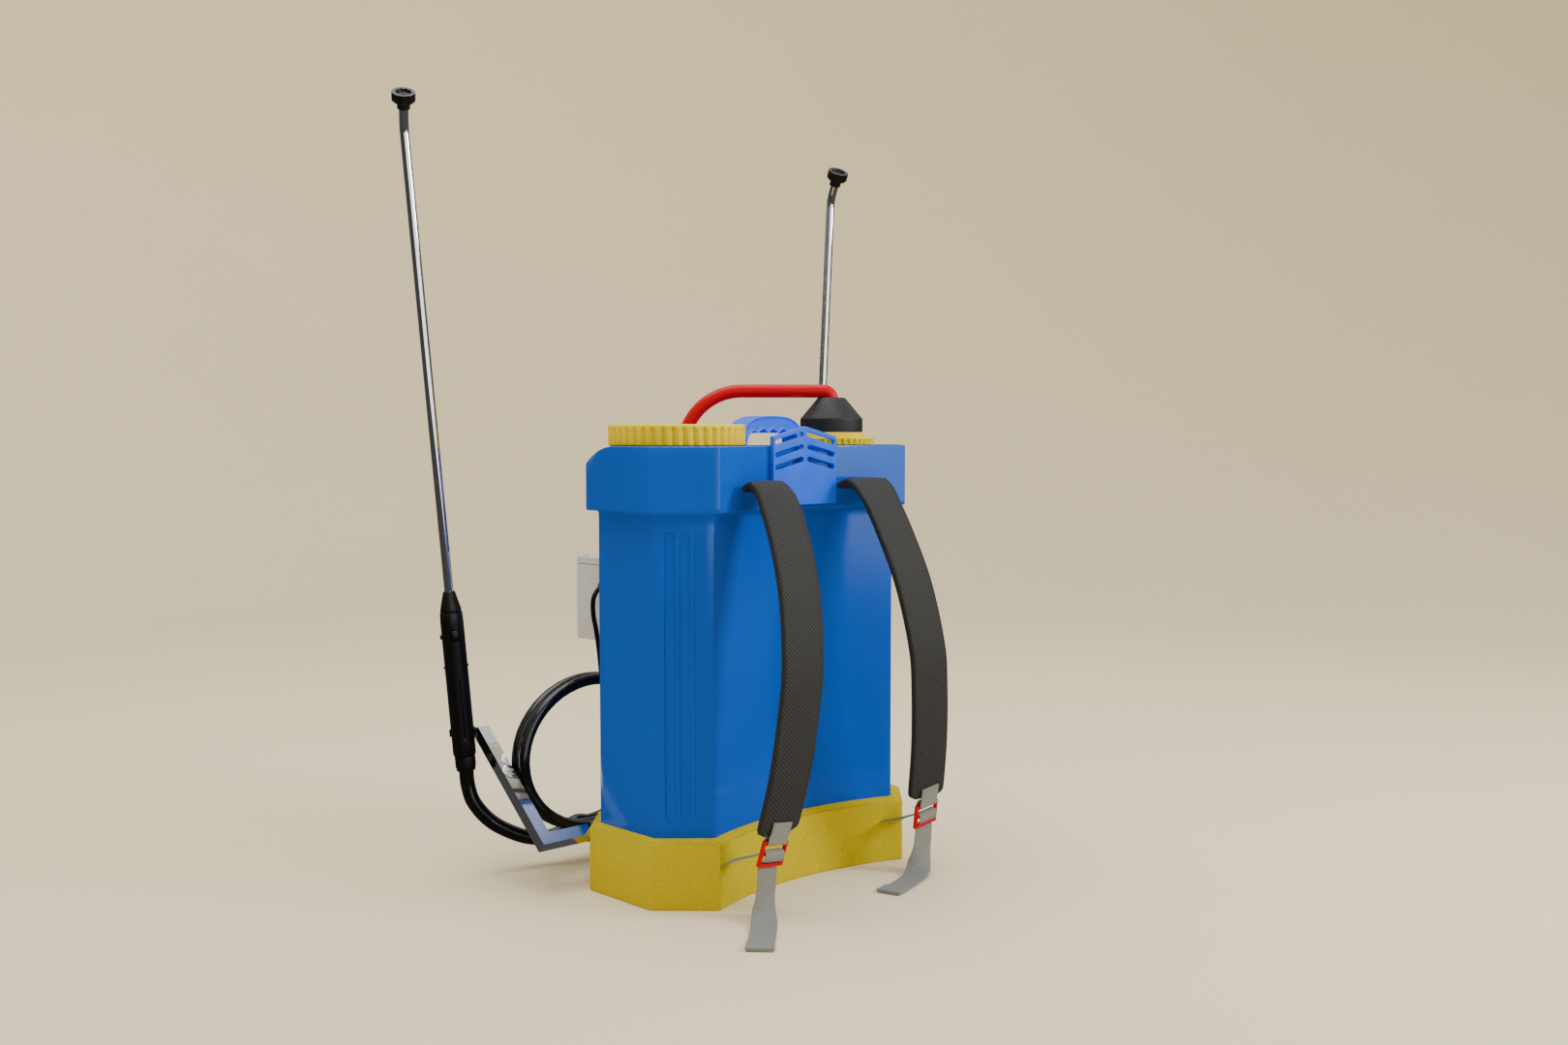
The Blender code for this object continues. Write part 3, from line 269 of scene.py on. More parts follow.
def blend_colours(tree, share, first, second):
    node = add_node(tree, "Mix", data_type="RGBA")
    for socket, colour in ((node.inputs[6], first), (node.inputs[7], second)):
        if isinstance(colour, tuple):
            socket.default_value = (*colour, 1.0)
        else:
            tree.links.new(colour, socket)
    tree.links.new(share, node.inputs[0])
    return node.outputs[2]


def add_bump(tree, shader, heights):
    """Chains bumps; heights holds (value, strength, distance in metres)."""
    normal = None
    for value, strength, distance in heights:
        bump = add_node(tree, "Bump", {"Strength": strength, "Distance": distance})
        tree.links.new(value, bump.inputs["Height"])
        if normal:
            tree.links.new(normal, bump.inputs["Normal"])
        normal = bump.outputs["Normal"]
    tree.links.new(normal, shader.inputs["Normal"])


def maths(tree, kind, first, second=None):
    """A Math node. Each value is a number or another node's output."""
    node = add_node(tree, "Math", operation=kind)
    for socket, value in zip(node.inputs, (first, second)):
        if isinstance(value, float):
            socket.default_value = value
        elif value is not None:
            tree.links.new(value, socket)
    return node.outputs[0]


def scaled(colour, factor):
    return tuple(min(1.0, c * factor) for c in colour)


def moulded(name, colour, roughness, grain, depth, speckle=0.05, waviness=0.0, **sockets):
    """Moulded plastic: a fine grain, faint speckle and flow marks, and uneven gloss.

    Grain is the number of grains to a metre, and depth is theirs in metres.
    """
    material, tree, shader = new_material(name, colour, roughness, **sockets)
    place = add_node(tree, "TexCoord").outputs["Object"]
    fine = noise(tree, place, grain, 3.0, 0.6)
    broad = noise(tree, place, 7.0, 3.0)
    patches = noise(tree, place, 46.0, 4.0)
    flow = blend_colours(tree, spread_value(tree, broad, 0.0, 1.0), scaled(colour, 0.94), scaled(colour, 1.05))
    tint = blend_colours(tree, spread_value(tree, fine, 0.0, speckle * 4), flow, scaled(colour, 0.55))
    tree.links.new(tint, shader.inputs["Base Color"])
    tree.links.new(spread_value(tree, patches, roughness * 0.85, roughness * 1.18), shader.inputs["Roughness"])
    heights = [(fine, 0.6, depth)]
    if waviness:
        heights.append((broad, 0.8, waviness))
    add_bump(tree, shader, heights)
    return material


def metal(name, colour, roughness, lines=0.0, **sockets):
    """Metal with faint smears in its gloss, and drawing lines if asked for."""
    material, tree, shader = new_material(name, colour, roughness, 1.0, **sockets)
    place = add_node(tree, "TexCoord").outputs["Object"]
    smears = noise(tree, place, 60.0, 4.0, 0.6)
    tree.links.new(spread_value(tree, smears, roughness * 0.7, roughness * 1.5), shader.inputs["Roughness"])
    stretch = add_node(tree, "Mapping", {"Scale": (1.0, 1.0, 0.02)})
    tree.links.new(place, stretch.inputs["Vector"])
    scratches = noise(tree, stretch.outputs["Vector"], 2400.0, 2.0)
    tint = blend_colours(tree, spread_value(tree, smears, 0.0, 1.0), colour, scaled(colour, 0.93))
    tree.links.new(tint, shader.inputs["Base Color"])
    add_bump(tree, shader, [(scratches, 0.15 + lines, 0.00002 + lines * 0.0001)])
    return material


def woven(name, colour, dark, across, along, twill):
    """Webbing: yarns across and along the strip, whose UV map is in metres."""
    material, tree, shader = new_material(name, colour, 0.85, Sheen_Weight=0.06)
    uv = add_node(tree, "TexCoord").outputs["UV"]
    place = add_node(tree, "TexCoord").outputs["Object"]
    split = add_node(tree, "SeparateXYZ")
    tree.links.new(uv, split.inputs["Vector"])
    turn = 2 * pi
    warp = maths(tree, "SINE", maths(tree, "MULTIPLY", split.outputs["X"], turn / across))
    shifted = maths(tree, "ADD", split.outputs["Y"], maths(tree, "MULTIPLY", split.outputs["X"], twill))
    weft = maths(tree, "SINE", maths(tree, "MULTIPLY", shifted, turn / along))
    raised = spread_value(tree, maths(tree, "MULTIPLY", warp, weft), 0.0, 1.0, -1.0, 1.0)
    fuzz = noise(tree, place, 1500.0, 3.0, 0.7)
    melange = noise(tree, place, 420.0, 2.0, 0.7)
    # Darker where the weave lies low and full colour on the raised yarns: painted shade between the yarns.
    base = blend_colours(tree, raised, dark, colour)
    tint = blend_colours(tree, spread_value(tree, melange, 0.0, 0.35), base, scaled(colour, 1.35))
    tree.links.new(tint, shader.inputs["Base Color"])
    add_bump(tree, shader, [(raised, 0.7, 0.00035), (fuzz, 0.4, 0.00015)])
    return material


def perforated(name, colour, hole_shade, pitch, size):
    """Spacer mesh: staggered rows of small holes over knitted cloth, on a UV map in metres."""
    material, tree, shader = new_material(name, colour, 0.72, Specular_IOR_Level=0.3)
    coords = add_node(tree, "TexCoord")
    nearest = None
    for shift in (0.0, 0.5):
        mapping = add_node(tree, "Mapping", {"Location": (shift, shift, 0.0),
                                                       "Scale": (1 / pitch[0], 1 / pitch[1], 0.0)})
        tree.links.new(coords.outputs["UV"], mapping.inputs["Vector"])
        last = mapping.outputs["Vector"]
        for kind, value in (("FRACTION", None), ("SUBTRACT", (0.5, 0.5, 0.0)), ("MULTIPLY", (*pitch, 0.0)),
                            ("LENGTH", None)):
            node = add_node(tree, "VectorMath", {1: value} if value else None, operation=kind)
            tree.links.new(last, node.inputs[0])
            last = node.outputs[0]
        far = node.outputs["Value"]
        nearest = maths(tree, "MINIMUM", nearest, far) if nearest else far
    solid = spread_value(tree, nearest, 0.0, 1.0, size * 0.85, size * 1.1)
    knit = noise(tree, coords.outputs["Object"], 1300.0, 3.0, 0.7)
    cloth = blend_colours(tree, spread_value(tree, knit, 0.0, 1.0), scaled(colour, 0.6), scaled(colour, 1.4))
    # The holes are coloured near black: painted shade inside the perforations.
    tree.links.new(blend_colours(tree, solid, hole_shade, cloth), shader.inputs["Base Color"])
    add_bump(tree, shader, [(solid, 0.9, 0.0006), (knit, 0.5, 0.0002)])
    return material


BLUE = (0.001, 0.092, 0.62)
# A lighter copy of the tank's blue for the carry handle and slotted plate: painted light, standing in for the light
# that falls on them.
BLUE_WITH_PAINTED_LIGHT = (0.008, 0.120, 0.95)
YELLOW = (0.74, 0.59, 0.001)
BRIGHT_YELLOW = (0.88, 0.68, 0.001)

blue = moulded("tank_polyethylene", BLUE, 0.10, 2600.0, 0.00001, 0.03, 0.0002)
# Handle and plate plastic in the lighter blue: the tank's blue with painted light.
light_blue = moulded("handle_plastic_painted_light", BLUE_WITH_PAINTED_LIGHT, 0.30, 2600.0, 0.00004, 0.03)
yellow = moulded("base_grained_plastic", YELLOW, 0.58, 1100.0, 0.00050, 0.30, Specular_IOR_Level=0.10)
bright_yellow = moulded("cap_plastic", BRIGHT_YELLOW, 0.42, 2100.0, 0.00006, 0.04, Specular_IOR_Level=0.10)
red = moulded("red_glossy_plastic", (0.56, 0.0005, 0.006), 0.20, 2200.0, 0.00002, 0.02, Specular_IOR_Level=0.15)
black = moulded("black_satin_plastic", (0.008, 0.008, 0.008), 0.30, 2400.0, 0.00006, 0.05,
                Specular_IOR_Level=0.35)
grip_black = moulded("grip_plastic", (0.004, 0.004, 0.004), 0.36, 2300.0, 0.00008, 0.05, Specular_IOR_Level=0.3)
dome_black = moulded("dome_plastic", (0.016, 0.016, 0.017), 0.50, 2600.0, 0.00006, 0.05, Specular_IOR_Level=0.3)
white = moulded("natural_plastic", (0.74, 0.74, 0.70), 0.40, 2000.0, 0.00005, 0.03)
grey = moulded("battery_box_plastic", (0.66, 0.69, 0.76), 0.60, 1300.0, 0.00030, 0.16)
rubber = moulded("hose_rubber", (0.004, 0.004, 0.004), 0.12, 2200.0, 0.00002, 0.03)
seal_rubber = moulded("seal_rubber", (0.02, 0.02, 0.02), 0.6, 2200.0, 0.00006, 0.05)
chrome = metal("polished_chrome", (0.86, 0.86, 0.87), 0.04)
steel = metal("turned_steel", (0.55, 0.55, 0.56), 0.28, 0.3)
# Each webbing's second, darker colour is the painted shade between its yarns.
webbing = woven("grey_webbing", (0.25, 0.26, 0.26), (0.13, 0.135, 0.135), 0.0011, 0.0016, 0.5)
black_tape = woven("black_edge_tape", (0.018, 0.018, 0.018), (0.006, 0.006, 0.006), 0.0009, 0.0012, 0.0)
# The second colour is the painted shade inside the holes.
pad_mesh = perforated("strap_spacer_mesh", (0.036, 0.037, 0.039), (0.001, 0.001, 0.001), (0.0050, 0.0044),
                      0.0010)
thread = moulded("black_thread", (0.035, 0.035, 0.035), 0.7, 3000.0, 0.0001, 0.1)


# Mesh helpers


def add_mesh(name, points, faces, angle=35):
    mesh = bpy.data.meshes.new(name)
    mesh.from_pydata([tuple(p) for p in points], [], faces)
    work = bmesh.new()
    work.from_mesh(mesh)
    bmesh.ops.recalc_face_normals(work, faces=work.faces[:])
    work.to_mesh(mesh)
    work.free()
    mesh.shade_smooth()
    mesh.set_sharp_from_angle(angle=radians(angle))
    piece = bpy.data.objects.new(name, mesh)
    bpy.context.collection.objects.link(piece)
    return piece


def loft(name, loops, closed=False, angle=35, capped=True):
    """Quads between loops of equal length. A loop of one point closes that end as a fan."""
    points = []
    rows = []
    for loop in loops:
        rows.append(range(len(points), len(points) + len(loop)))
        points += loop
    faces = []
    pairs = list(zip(rows, rows[1:]))
    if closed:
        pairs.append((rows[-1], rows[0]))
    for low, high in pairs:
        size = max(len(low), len(high))
        for j in range(size):
            k = (j + 1) % size
            if len(low) == 1:
                faces.append((low[0], high[j], high[k]))
            elif len(high) == 1:
                faces.append((low[j], low[k], high[0]))
            else:
                faces.append((low[j], low[k], high[k], high[j]))
    if capped and not closed:
        for row in (rows[0], rows[-1]):
            if len(row) > 1:
                faces.append(tuple(row))
    return add_mesh(name, points, faces, angle)


def axis_frame(origin, axis):
    """A matrix whose Z is the axis."""
    turn = UP.rotation_difference(Vector(axis)).to_matrix().to_4x4()
    return Matrix.Translation(Vector(origin)) @ turn


def rounded(profile, radius, steps=3):
    """The same open line of 2-D points with its inner corners rounded."""
    result = [profile[0]]
    for before, corner, after in zip(profile, profile[1:], profile[2:]):
        here = Vector(corner)
        back = Vector(before) - here
        ahead = Vector(after) - here
        reach = min(radius, back.length * 0.45, ahead.length * 0.45)
        first = here + back.normalized() * reach
        last = here + ahead.normalized() * reach
        for i in range(steps + 1):
            t = i / steps
            spot = first * (1 - t) ** 2 + here * 2 * t * (1 - t) + last * t * t
            result.append(tuple(spot))
    result.append(profile[-1])
    return result


def turned(name, profile, origin, axis, steps=64, shape=None, closed=False, angle=35, capped=True):
    """A solid of revolution from (radius, height) points. shape(turn, radius, height) may change a radius."""
    frame_matrix = axis_frame(origin, axis)
    loops = []
    for radius, height in profile:
        if radius == 0:
            loops.append([frame_matrix @ Vector((0, 0, height))])
            continue
        loop = []
        for i in range(steps):
            turn = i / steps
            r = shape(turn, radius, height) if shape else radius
            loop.append(frame_matrix @ Vector((r * cos(2 * pi * turn), r * sin(2 * pi * turn),
                                               height)))
        loops.append(loop)
    return loft(name, loops, closed, angle, capped)


def smooth_route(knots, count):
    """Points at even steps along a smooth curve through the knots."""
    knots = [Vector(k) for k in knots]
    ends = [knots[0] * 2 - knots[1]] + knots + [knots[-1] * 2 - knots[-2]]
    fine = []
    per_span = 24
    for i in range(1, len(ends) - 2):
        a, b, c, d = ends[i - 1 : i + 3]
        for j in range(per_span):
            t = j / per_span
            fine.append(0.5 * (2 * b + (c - a) * t + (2 * a - 5 * b + 4 * c - d) * t * t
                               + (3 * b - a - 3 * c + d) * t * t * t))
    fine.append(knots[-1])
    lengths = [0.0]
    for p, q in zip(fine, fine[1:]):
        lengths.append(lengths[-1] + (q - p).length)
    route = []
    at = 0
    for i in range(count):
        want = lengths[-1] * i / (count - 1)
        while at < len(fine) - 2 and lengths[at + 1] < want:
            at += 1
        share = (want - lengths[at]) / max(lengths[at + 1] - lengths[at], 1e-9)
        route.append(fine[at].lerp(fine[at + 1], min(share, 1.0)))
    return route


def length_of(route):
    return sum((q - p).length for p, q in zip(route, route[1:]))


def directions(route):
    result = []
    for i in range(len(route)):
        before = route[max(i - 1, 0)]
        after = route[min(i + 1, len(route) - 1)]
        result.append((after - before).normalized())
    return result


def tube(name, route, radius, sides=24, start_side=Vector((0, 1, 0)), radii=None):
    """A round tube whose rings turn as little as possible along the route."""
    loops = []
    side = start_side
    for i, (p, along) in enumerate(zip(route, directions(route))):
        side = (side - along * side.dot(along)).normalized()
        other = along.cross(side)
        r = radii[i] if radii else radius
        loops.append([p + (side * cos(2 * pi * j / sides) + other * sin(2 * pi * j / sides)) * r
                      for j in range(sides)])
    return loft(name, loops)


def strip(name, route, sides, sections, angle=35):
    """A flat strap. sections(i) gives its cross-section at point i as (across, outward) pairs.

    The UV map is in metres, across and along the strap.
    """
    loops = []
    across = []
    for i, (p, along, side) in enumerate(zip(route, directions(route), sides)):
        outward = along.cross(side).normalized()
        section = sections(i)
        loops.append([p + side * a + outward * b for a, b in section])
        across.append([a for a, b in section])
    piece = loft(name, loops, angle=angle)
    travelled = [0.0]
    for p, q in zip(route, route[1:]):
        travelled.append(travelled[-1] + (q - p).length)
    size = len(across[0])
    layer = piece.data.uv_layers.new(name="strap")
    for corner in piece.data.loops:
        row, column = divmod(corner.vertex_index, size)
        layer.data[corner.index].uv = (across[row][column], travelled[row])
    return piece


def block(name, low, high):
    (x0, y0, z0), (x1, y1, z1) = low, high
    outline = [(x0, y0), (x1, y0), (x1, y1), (x0, y1)]
    return loft(name, [[Vector((x, y, z)) for x, y in outline] for z in (z0, z1)])


def slab(name, outline, front, back):
    """An (x, z) outline between two values of y."""
    return loft(name, [[Vector((x, y, z)) for x, z in outline] for y in (front, back)])


def bevel(piece, width, segments=3, angle=40):
    change = piece.modifiers.new("bevel", "BEVEL")
    change.width = width
    change.segments = segments
    change.limit_method = "ANGLE"
    change.angle_limit = radians(angle)
    change.harden_normals = True
    return piece


def settle(piece):
    """Applies the piece's modifiers to its mesh."""
    graph = bpy.context.evaluated_depsgraph_get()
    mesh = bpy.data.meshes.new_from_object(piece.evaluated_get(graph))
    piece.modifiers.clear()
    piece.data = mesh
    return piece


def carve(piece, cutters, operation="DIFFERENCE", angle=35):
    """Cuts the pieces in cutters out of piece, or joins them to it, for good."""
    for cutter in cutters:
        change = piece.modifiers.new("carve", "BOOLEAN")
        change.operation = operation
        change.solver = "EXACT"
        change.object = cutter
    settle(piece)
    for cutter in cutters:
        bpy.data.objects.remove(cutter, do_unlink=True)
    piece.data.shade_smooth()
    piece.data.set_sharp_from_angle(angle=radians(angle))
    return piece


def merge(name, parts):
    """Joins several pieces of one material into one."""
    work = bmesh.new()
    for part in parts:
        part.data.transform(part.matrix_world)
        work.from_mesh(part.data)
    mesh = bpy.data.meshes.new(name)
    work.to_mesh(mesh)
    work.free()
    for part in parts:
        bpy.data.objects.remove(part, do_unlink=True)
    mesh.shade_smooth()
    mesh.set_sharp_from_angle(angle=radians(35))
    piece = bpy.data.objects.new(name, mesh)
    bpy.context.collection.objects.link(piece)
    return piece


def place(piece, material, body, slot, *replaced):
    """Gives a piece its material, and puts it on its body in place of CAD nodes."""
    piece.data.materials.clear()
    piece.data.materials.append(material)
    if body:
        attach(piece, body)
    if replaced:
        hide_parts(*replaced)
    return piece


# Tank and base


def plan(inset, corner_radius):
    """The plan outline as (x, y): cut corners, and a hollow arc on the wearer's side."""
    w = BASE_WIDTH / 2 - inset
    d = BASE_DEPTH / 2 - inset
    c = CORNER_CHAMFER - (2 - sqrt(2)) * inset
    half = BASE_WIDTH / 2 - CORNER_CHAMFER
    arc_radius = (half**2 + BACK_HOLLOW**2) / (2 * BACK_HOLLOW)
    arc_centre = -BASE_DEPTH / 2 + BACK_HOLLOW - arc_radius
    reach = w - c
    arc_steps = 56
    corners = []
    for i in range(arc_steps + 1):
        x = -reach + 2 * reach * i / arc_steps
        corners.append(Vector((x, arc_centre + sqrt((arc_radius + inset) ** 2 - x * x))))
    sharp = {0, arc_steps}
    for x, y in ((w, -d + c), (w, d - c), (w - c, d), (-w + c, d), (-w, d - c), (-w, -d + c)):
        sharp.add(len(corners))
        corners.append(Vector((x, y)))
    spans = {arc_steps: 9, arc_steps + 1: 18, arc_steps + 2: 9, arc_steps + 3: 24, arc_steps + 4: 9,
             arc_steps + 5: 18, arc_steps + 6: 9}
    points = []
    count = len(corners)
    for i, here in enumerate(corners):
        before = corners[i - 1]
        after = corners[(i + 1) % count]
        leave = here
        if i in sharp:
            back = (before - here).normalized()
            ahead = (after - here).normalized()
            half_turn = (pi - back.angle(ahead)) / 2
            reach_back = corner_radius * tan(half_turn)
            first = here + back * reach_back
            leave = here + ahead * reach_back
            for k in range(4):
                t = k / 4
                points.append(first * (1 - t) ** 2 + here * 2 * t * (1 - t) + leave * t * t)
        points.append(leave)
        if i in spans:
            arrive = after
            if (i + 1) % count in sharp:
                ahead = (here - after).normalized()
                onward = (corners[(i + 2) % count] - after).normalized()
                arrive = after + ahead * corner_radius * tan((pi - ahead.angle(onward)) / 2)
            for k in range(1, spans[i]):
                points.append(leave.lerp(arrive, k / spans[i]))
    return points


def plan_loop(inset, corner_radius, z):
    return [Vector((x, y, z)) for x, y in plan(inset, corner_radius)]


def shoulder_height(y):
    """The tank's top: level, then rounded over, then sloping down behind."""
    centre = TANK_TOP - SHOULDER_RADIUS
    if y <= SHOULDER_START:
        return TANK_TOP
    bend_end = SHOULDER_RADIUS * sin(SHOULDER_ANGLE)
    if y - SHOULDER_START <= bend_end:
        return centre + sqrt(SHOULDER_RADIUS**2 - (y - SHOULDER_START) ** 2)
    level = centre + SHOULDER_RADIUS * cos(SHOULDER_ANGLE)
    return level - (y - SHOULDER_START - bend_end) * tan(SHOULDER_ANGLE)


def flute_cutter(x_sign, offset):
    """A long groove with round ends, in the face between a side and the wearer's side."""
    outward = Vector((x_sign, -1, 0)).normalized()
    sideways = Vector((x_sign, 1, 0)).normalized()
    body_w = BASE_WIDTH / 2 - BODY_INSET
    body_c = CORNER_CHAMFER - (2 - sqrt(2)) * BODY_INSET
    body_d = BASE_DEPTH / 2 - BODY_INSET
    middle = Vector((x_sign * (body_w - body_c / 2), -(body_d - body_c / 2), 0)) + sideways * offset
    loops = []
    for half, depth in ((FLUTE_HALF + 0.0006, 0.0020), (FLUTE_HALF, 0.0), (FLUTE_HALF - 0.0008, -FLUTE_DEPTH)):
        loop = []
        for low, start in ((FLUTE_HIGH - FLUTE_HALF, 0.0), (FLUTE_LOW + FLUTE_HALF, pi)):
            for i in range(13):
                angle = start + pi * i / 12
                loop.append(middle + outward * depth + sideways * (half * cos(angle))
                            + UP * (low + half * sin(angle)))
        loops.append(loop)
    return loft("flute_cutter", loops)


def make_tank():
    body_corner = 0.0030
    band_corner = 0.0016
    low = BODY_INSET
    loops = [plan_loop(low, body_corner, z) for z in (TANK_BOTTOM, 0.10, 0.18, 0.26, 0.34, 0.395)]
    flare = rounded([(low, 0.398), (low, BAND_BOTTOM), (-BAND_OUTSET, BAND_BOTTOM), (-BAND_OUTSET, BAND_START)],
                    0.0045, 6)
    for inset, z in flare:
        share = min(max((z - BAND_BOTTOM) / 0.004, 0.0), 1.0)
        corner = body_corner + (band_corner - body_corner) * share
        loops.append(plan_loop(inset, corner, z))
    outer = plan(-BAND_OUTSET, band_corner)
    edge = 0.0011
    for share in (0.25, 0.5, 0.75, 1.0):
        loops.append([Vector((x, y, BAND_START + (shoulder_height(y) - edge - BAND_START) * share))
                      for x, y in outer])
    for k in range(1, 5):
        angle = pi / 2 * k / 4
        ring = plan(-BAND_OUTSET + edge * (1 - cos(angle)), band_corner)
        loops.append([Vector((x, y, shoulder_height(y) - edge * (1 - sin(angle)))) for x, y in ring])
    rim = plan(-BAND_OUTSET + edge, band_corner)
    for k in range(1, 17):
        scale = 1 - k / 17
        loops.append([Vector((x * scale, y * scale, shoulder_height(y * scale))) for x, y in rim])
    loops.append([Vector((0, 0, TANK_TOP))])
    tank = loft("tank_body", loops, angle=50)
    cutters = [turned("well_cutter", [(0, 0.30), (0.064, 0.30), (0.064, 0.52), (0, 0.52)], (LID_X, 0, 0), UP, 48)]
    for x_sign in (-1, 1):
        for offset in (-FLUTE_PITCH, 0.0, FLUTE_PITCH):
            cutters.append(flute_cutter(x_sign, offset))
    carve(tank, cutters, angle=30)
    place(tank, blue, "root", "tank_blue", "tank_shell")
    profile = rounded([(NECK_BORE, 0.425), (COLLAR_RADIUS, 0.425), (COLLAR_RADIUS, TANK_TOP + 0.0003),
                       (NECK_RADIUS, TANK_TOP + 0.0003), (NECK_RADIUS, NECK_TOP), (NECK_BORE, NECK_TOP)], 0.0008)
    place(turned("filling_neck", profile, (LID_X, 0, 0), UP, 96, closed=True), blue, "root", "tank_blue")
    turns = 1.75
    steps = 120
    route = []
    radii = []
    for i in range(steps + 1):
        angle = 2 * pi * turns * i / steps
        route.append(Vector((LID_X + NECK_RADIUS * cos(angle), NECK_RADIUS * sin(angle),
                             0.4835 + 0.0080 * i / steps)))
        radii.append(0.0012 * min(1.0, i / 6 + 0.15, (steps - i) / 6 + 0.15))
    place(tube("neck_thread", route, 0.0012, 8, UP, radii), blue, "root", "tank_blue")


def make_base():
    profile = [(0.0010, 0.0), (0.0, 0.0010), (0.0, RIM_TOP - 0.0012), (0.0003, RIM_TOP - 0.0004),
               (0.0012, RIM_TOP), (0.0036, RIM_TOP), (0.0042, RIM_TOP + 0.0004), (0.0046, RIM_TOP + 0.0016),
               (0.0054, RIM_TOP + 0.0022), (0.0098, LEDGE_TOP - 0.0008), (0.0104, LEDGE_TOP),
               (BODY_INSET - 0.0003, LEDGE_TOP), (BODY_INSET - 0.0003, TANK_BOTTOM - 0.0003),
               (0.020, TANK_BOTTOM - 0.0003), (0.020, TANK_BOTTOM - 0.006), (BASE_WALL, TANK_BOTTOM - 0.010),
               (BASE_WALL, 0.0)]
    loops = [plan_loop(inset, 0.0018, z) for inset, z in profile]
    base = loft("base_housing", loops, closed=True)
    y, z, radius = SHAFT_HOLE
    carve(base, [turned("hole_cutter", [(0, 0), (radius, 0), (radius, 0.05), (0, 0.05)], (-0.190, y, z),
                        Vector((1, 0, 0)), 32)])
    place(base, yellow, "root", "base_yellow", "base_shell")


# Lid, ring and pump head


def ribs(count, depth, top):
    """Rounded vertical ribs round a cap, whose valleys end in small arches below its rim.

    They are cut into every wall below the rim, the inner one too.
    """

    def shape(turn, radius, height):
        from_valley = abs((turn * count) % 1 - 0.5) * 2
        end = top - 0.0026 - 0.0050 * from_valley
        fade = min(max((end - height) / 0.0014, 0.0), 1.0)
        return radius - depth * (1 - from_valley) ** 1.8 * fade

    return shape


def ladder(low, high, step):
    count = max(1, round((high - low) / step))
    return [low + (high - low) * i / count for i in range(count + 1)]


def make_lid():
    top_edge = 0.0024
    wall = [(LID_RADIUS - 0.0008, LID_LOW), (LID_RADIUS, LID_LOW + 0.0008)]
    wall += [(LID_RADIUS, z) for z in ladder(LID_LOW + 0.0016, LID_TOP - 0.0095, 0.003)]
    wall += [(LID_RADIUS, z) for z in ladder(LID_TOP - 0.009, LID_TOP - top_edge, 0.0005)]
    for k in range(1, 6):
        angle = pi / 2 * k / 5
        wall.append((LID_RADIUS - top_edge * (1 - cos(angle)), LID_TOP - top_edge * (1 - sin(angle))))
    crown = rounded([(0.0690, LID_TOP), (0.0630, LID_TOP), (0.0624, LID_TOP - 0.0012), (0.0300, LID_TOP - 0.0012),
                     (0.0292, LID_TOP - 0.0003), (0.0240, LID_TOP - 0.0003), (0.0232, LID_TOP - 0.0012),
                     (0.0020, LID_TOP - 0.0012)], 0.0006)
    under = [(0.0645, LID_TOP - 0.0045), (0.0645, LID_LOW)]
    profile = [(0, LID_TOP - 0.0045)] + under + wall + crown + [(0, LID_TOP - 0.0012)]
    lid = turned("filling_lid", profile, (LID_X, 0, 0), UP, LID_RIBS * 12,
                 ribs(LID_RIBS, LID_RIB_DEPTH, LID_TOP), angle=50)
    place(lid, bright_yellow, "lid", "cap_yellow", "fill_lid")


def make_pump_head():
    low = LID_LOW
    edge = 0.0010
    inner = DISC_RADIUS + 0.0004
    wall = [(RING_RADIUS, z) for z in ladder(low, RING_TOP - edge, 0.0005)]
    wall += [(RING_RADIUS - edge * 0.3, RING_TOP - edge * 0.3), (RING_RADIUS - edge, RING_TOP)]
    profile = [(inner, low)] + wall + [(inner + 0.0006, RING_TOP), (inner, RING_TOP - 0.0006)]
    ring = turned("pump_ring", profile, (PUMP_X, 0, 0), UP, RING_RIBS * 10,
                  ribs(RING_RIBS, RING_RIB_DEPTH, RING_TOP + 0.0012), closed=True, angle=50)
    place(ring, bright_yellow, "ring", "cap_yellow", "pump_ring_nut")
    disc = rounded([(0, 0.460), (0.033, 0.460), (0.033, low), (DISC_RADIUS, low), (DISC_RADIUS, DISC_TOP),
                    (DISC_RADIUS - 0.002, DISC_TOP), (0, DISC_TOP)], 0.0010, 4)
    place(turned("pump_top_disc", disc, (PUMP_X, 0, 0), UP, 96), bright_yellow, "root", "cap_yellow", "pump_disc")
    socket = PIPE_RADIUS + 0.0005
    dome = rounded([(0, DISC_TOP + 0.0003), (DOME_RADIUS, DISC_TOP + 0.0003), (DOME_RADIUS, DOME_SHOULDER),
                    (DOME_TOP_RADIUS, DOME_TOP), (socket, DOME_TOP), (socket, DOME_TOP - 0.007),
                    (0, DOME_TOP - 0.007)], 0.0012, 4)
    place(turned("pump_dome", dome, (PUMP_X, 0, 0), UP, 96, angle=25), dome_black, "root", "black_plastic",
          "pressure_dome")


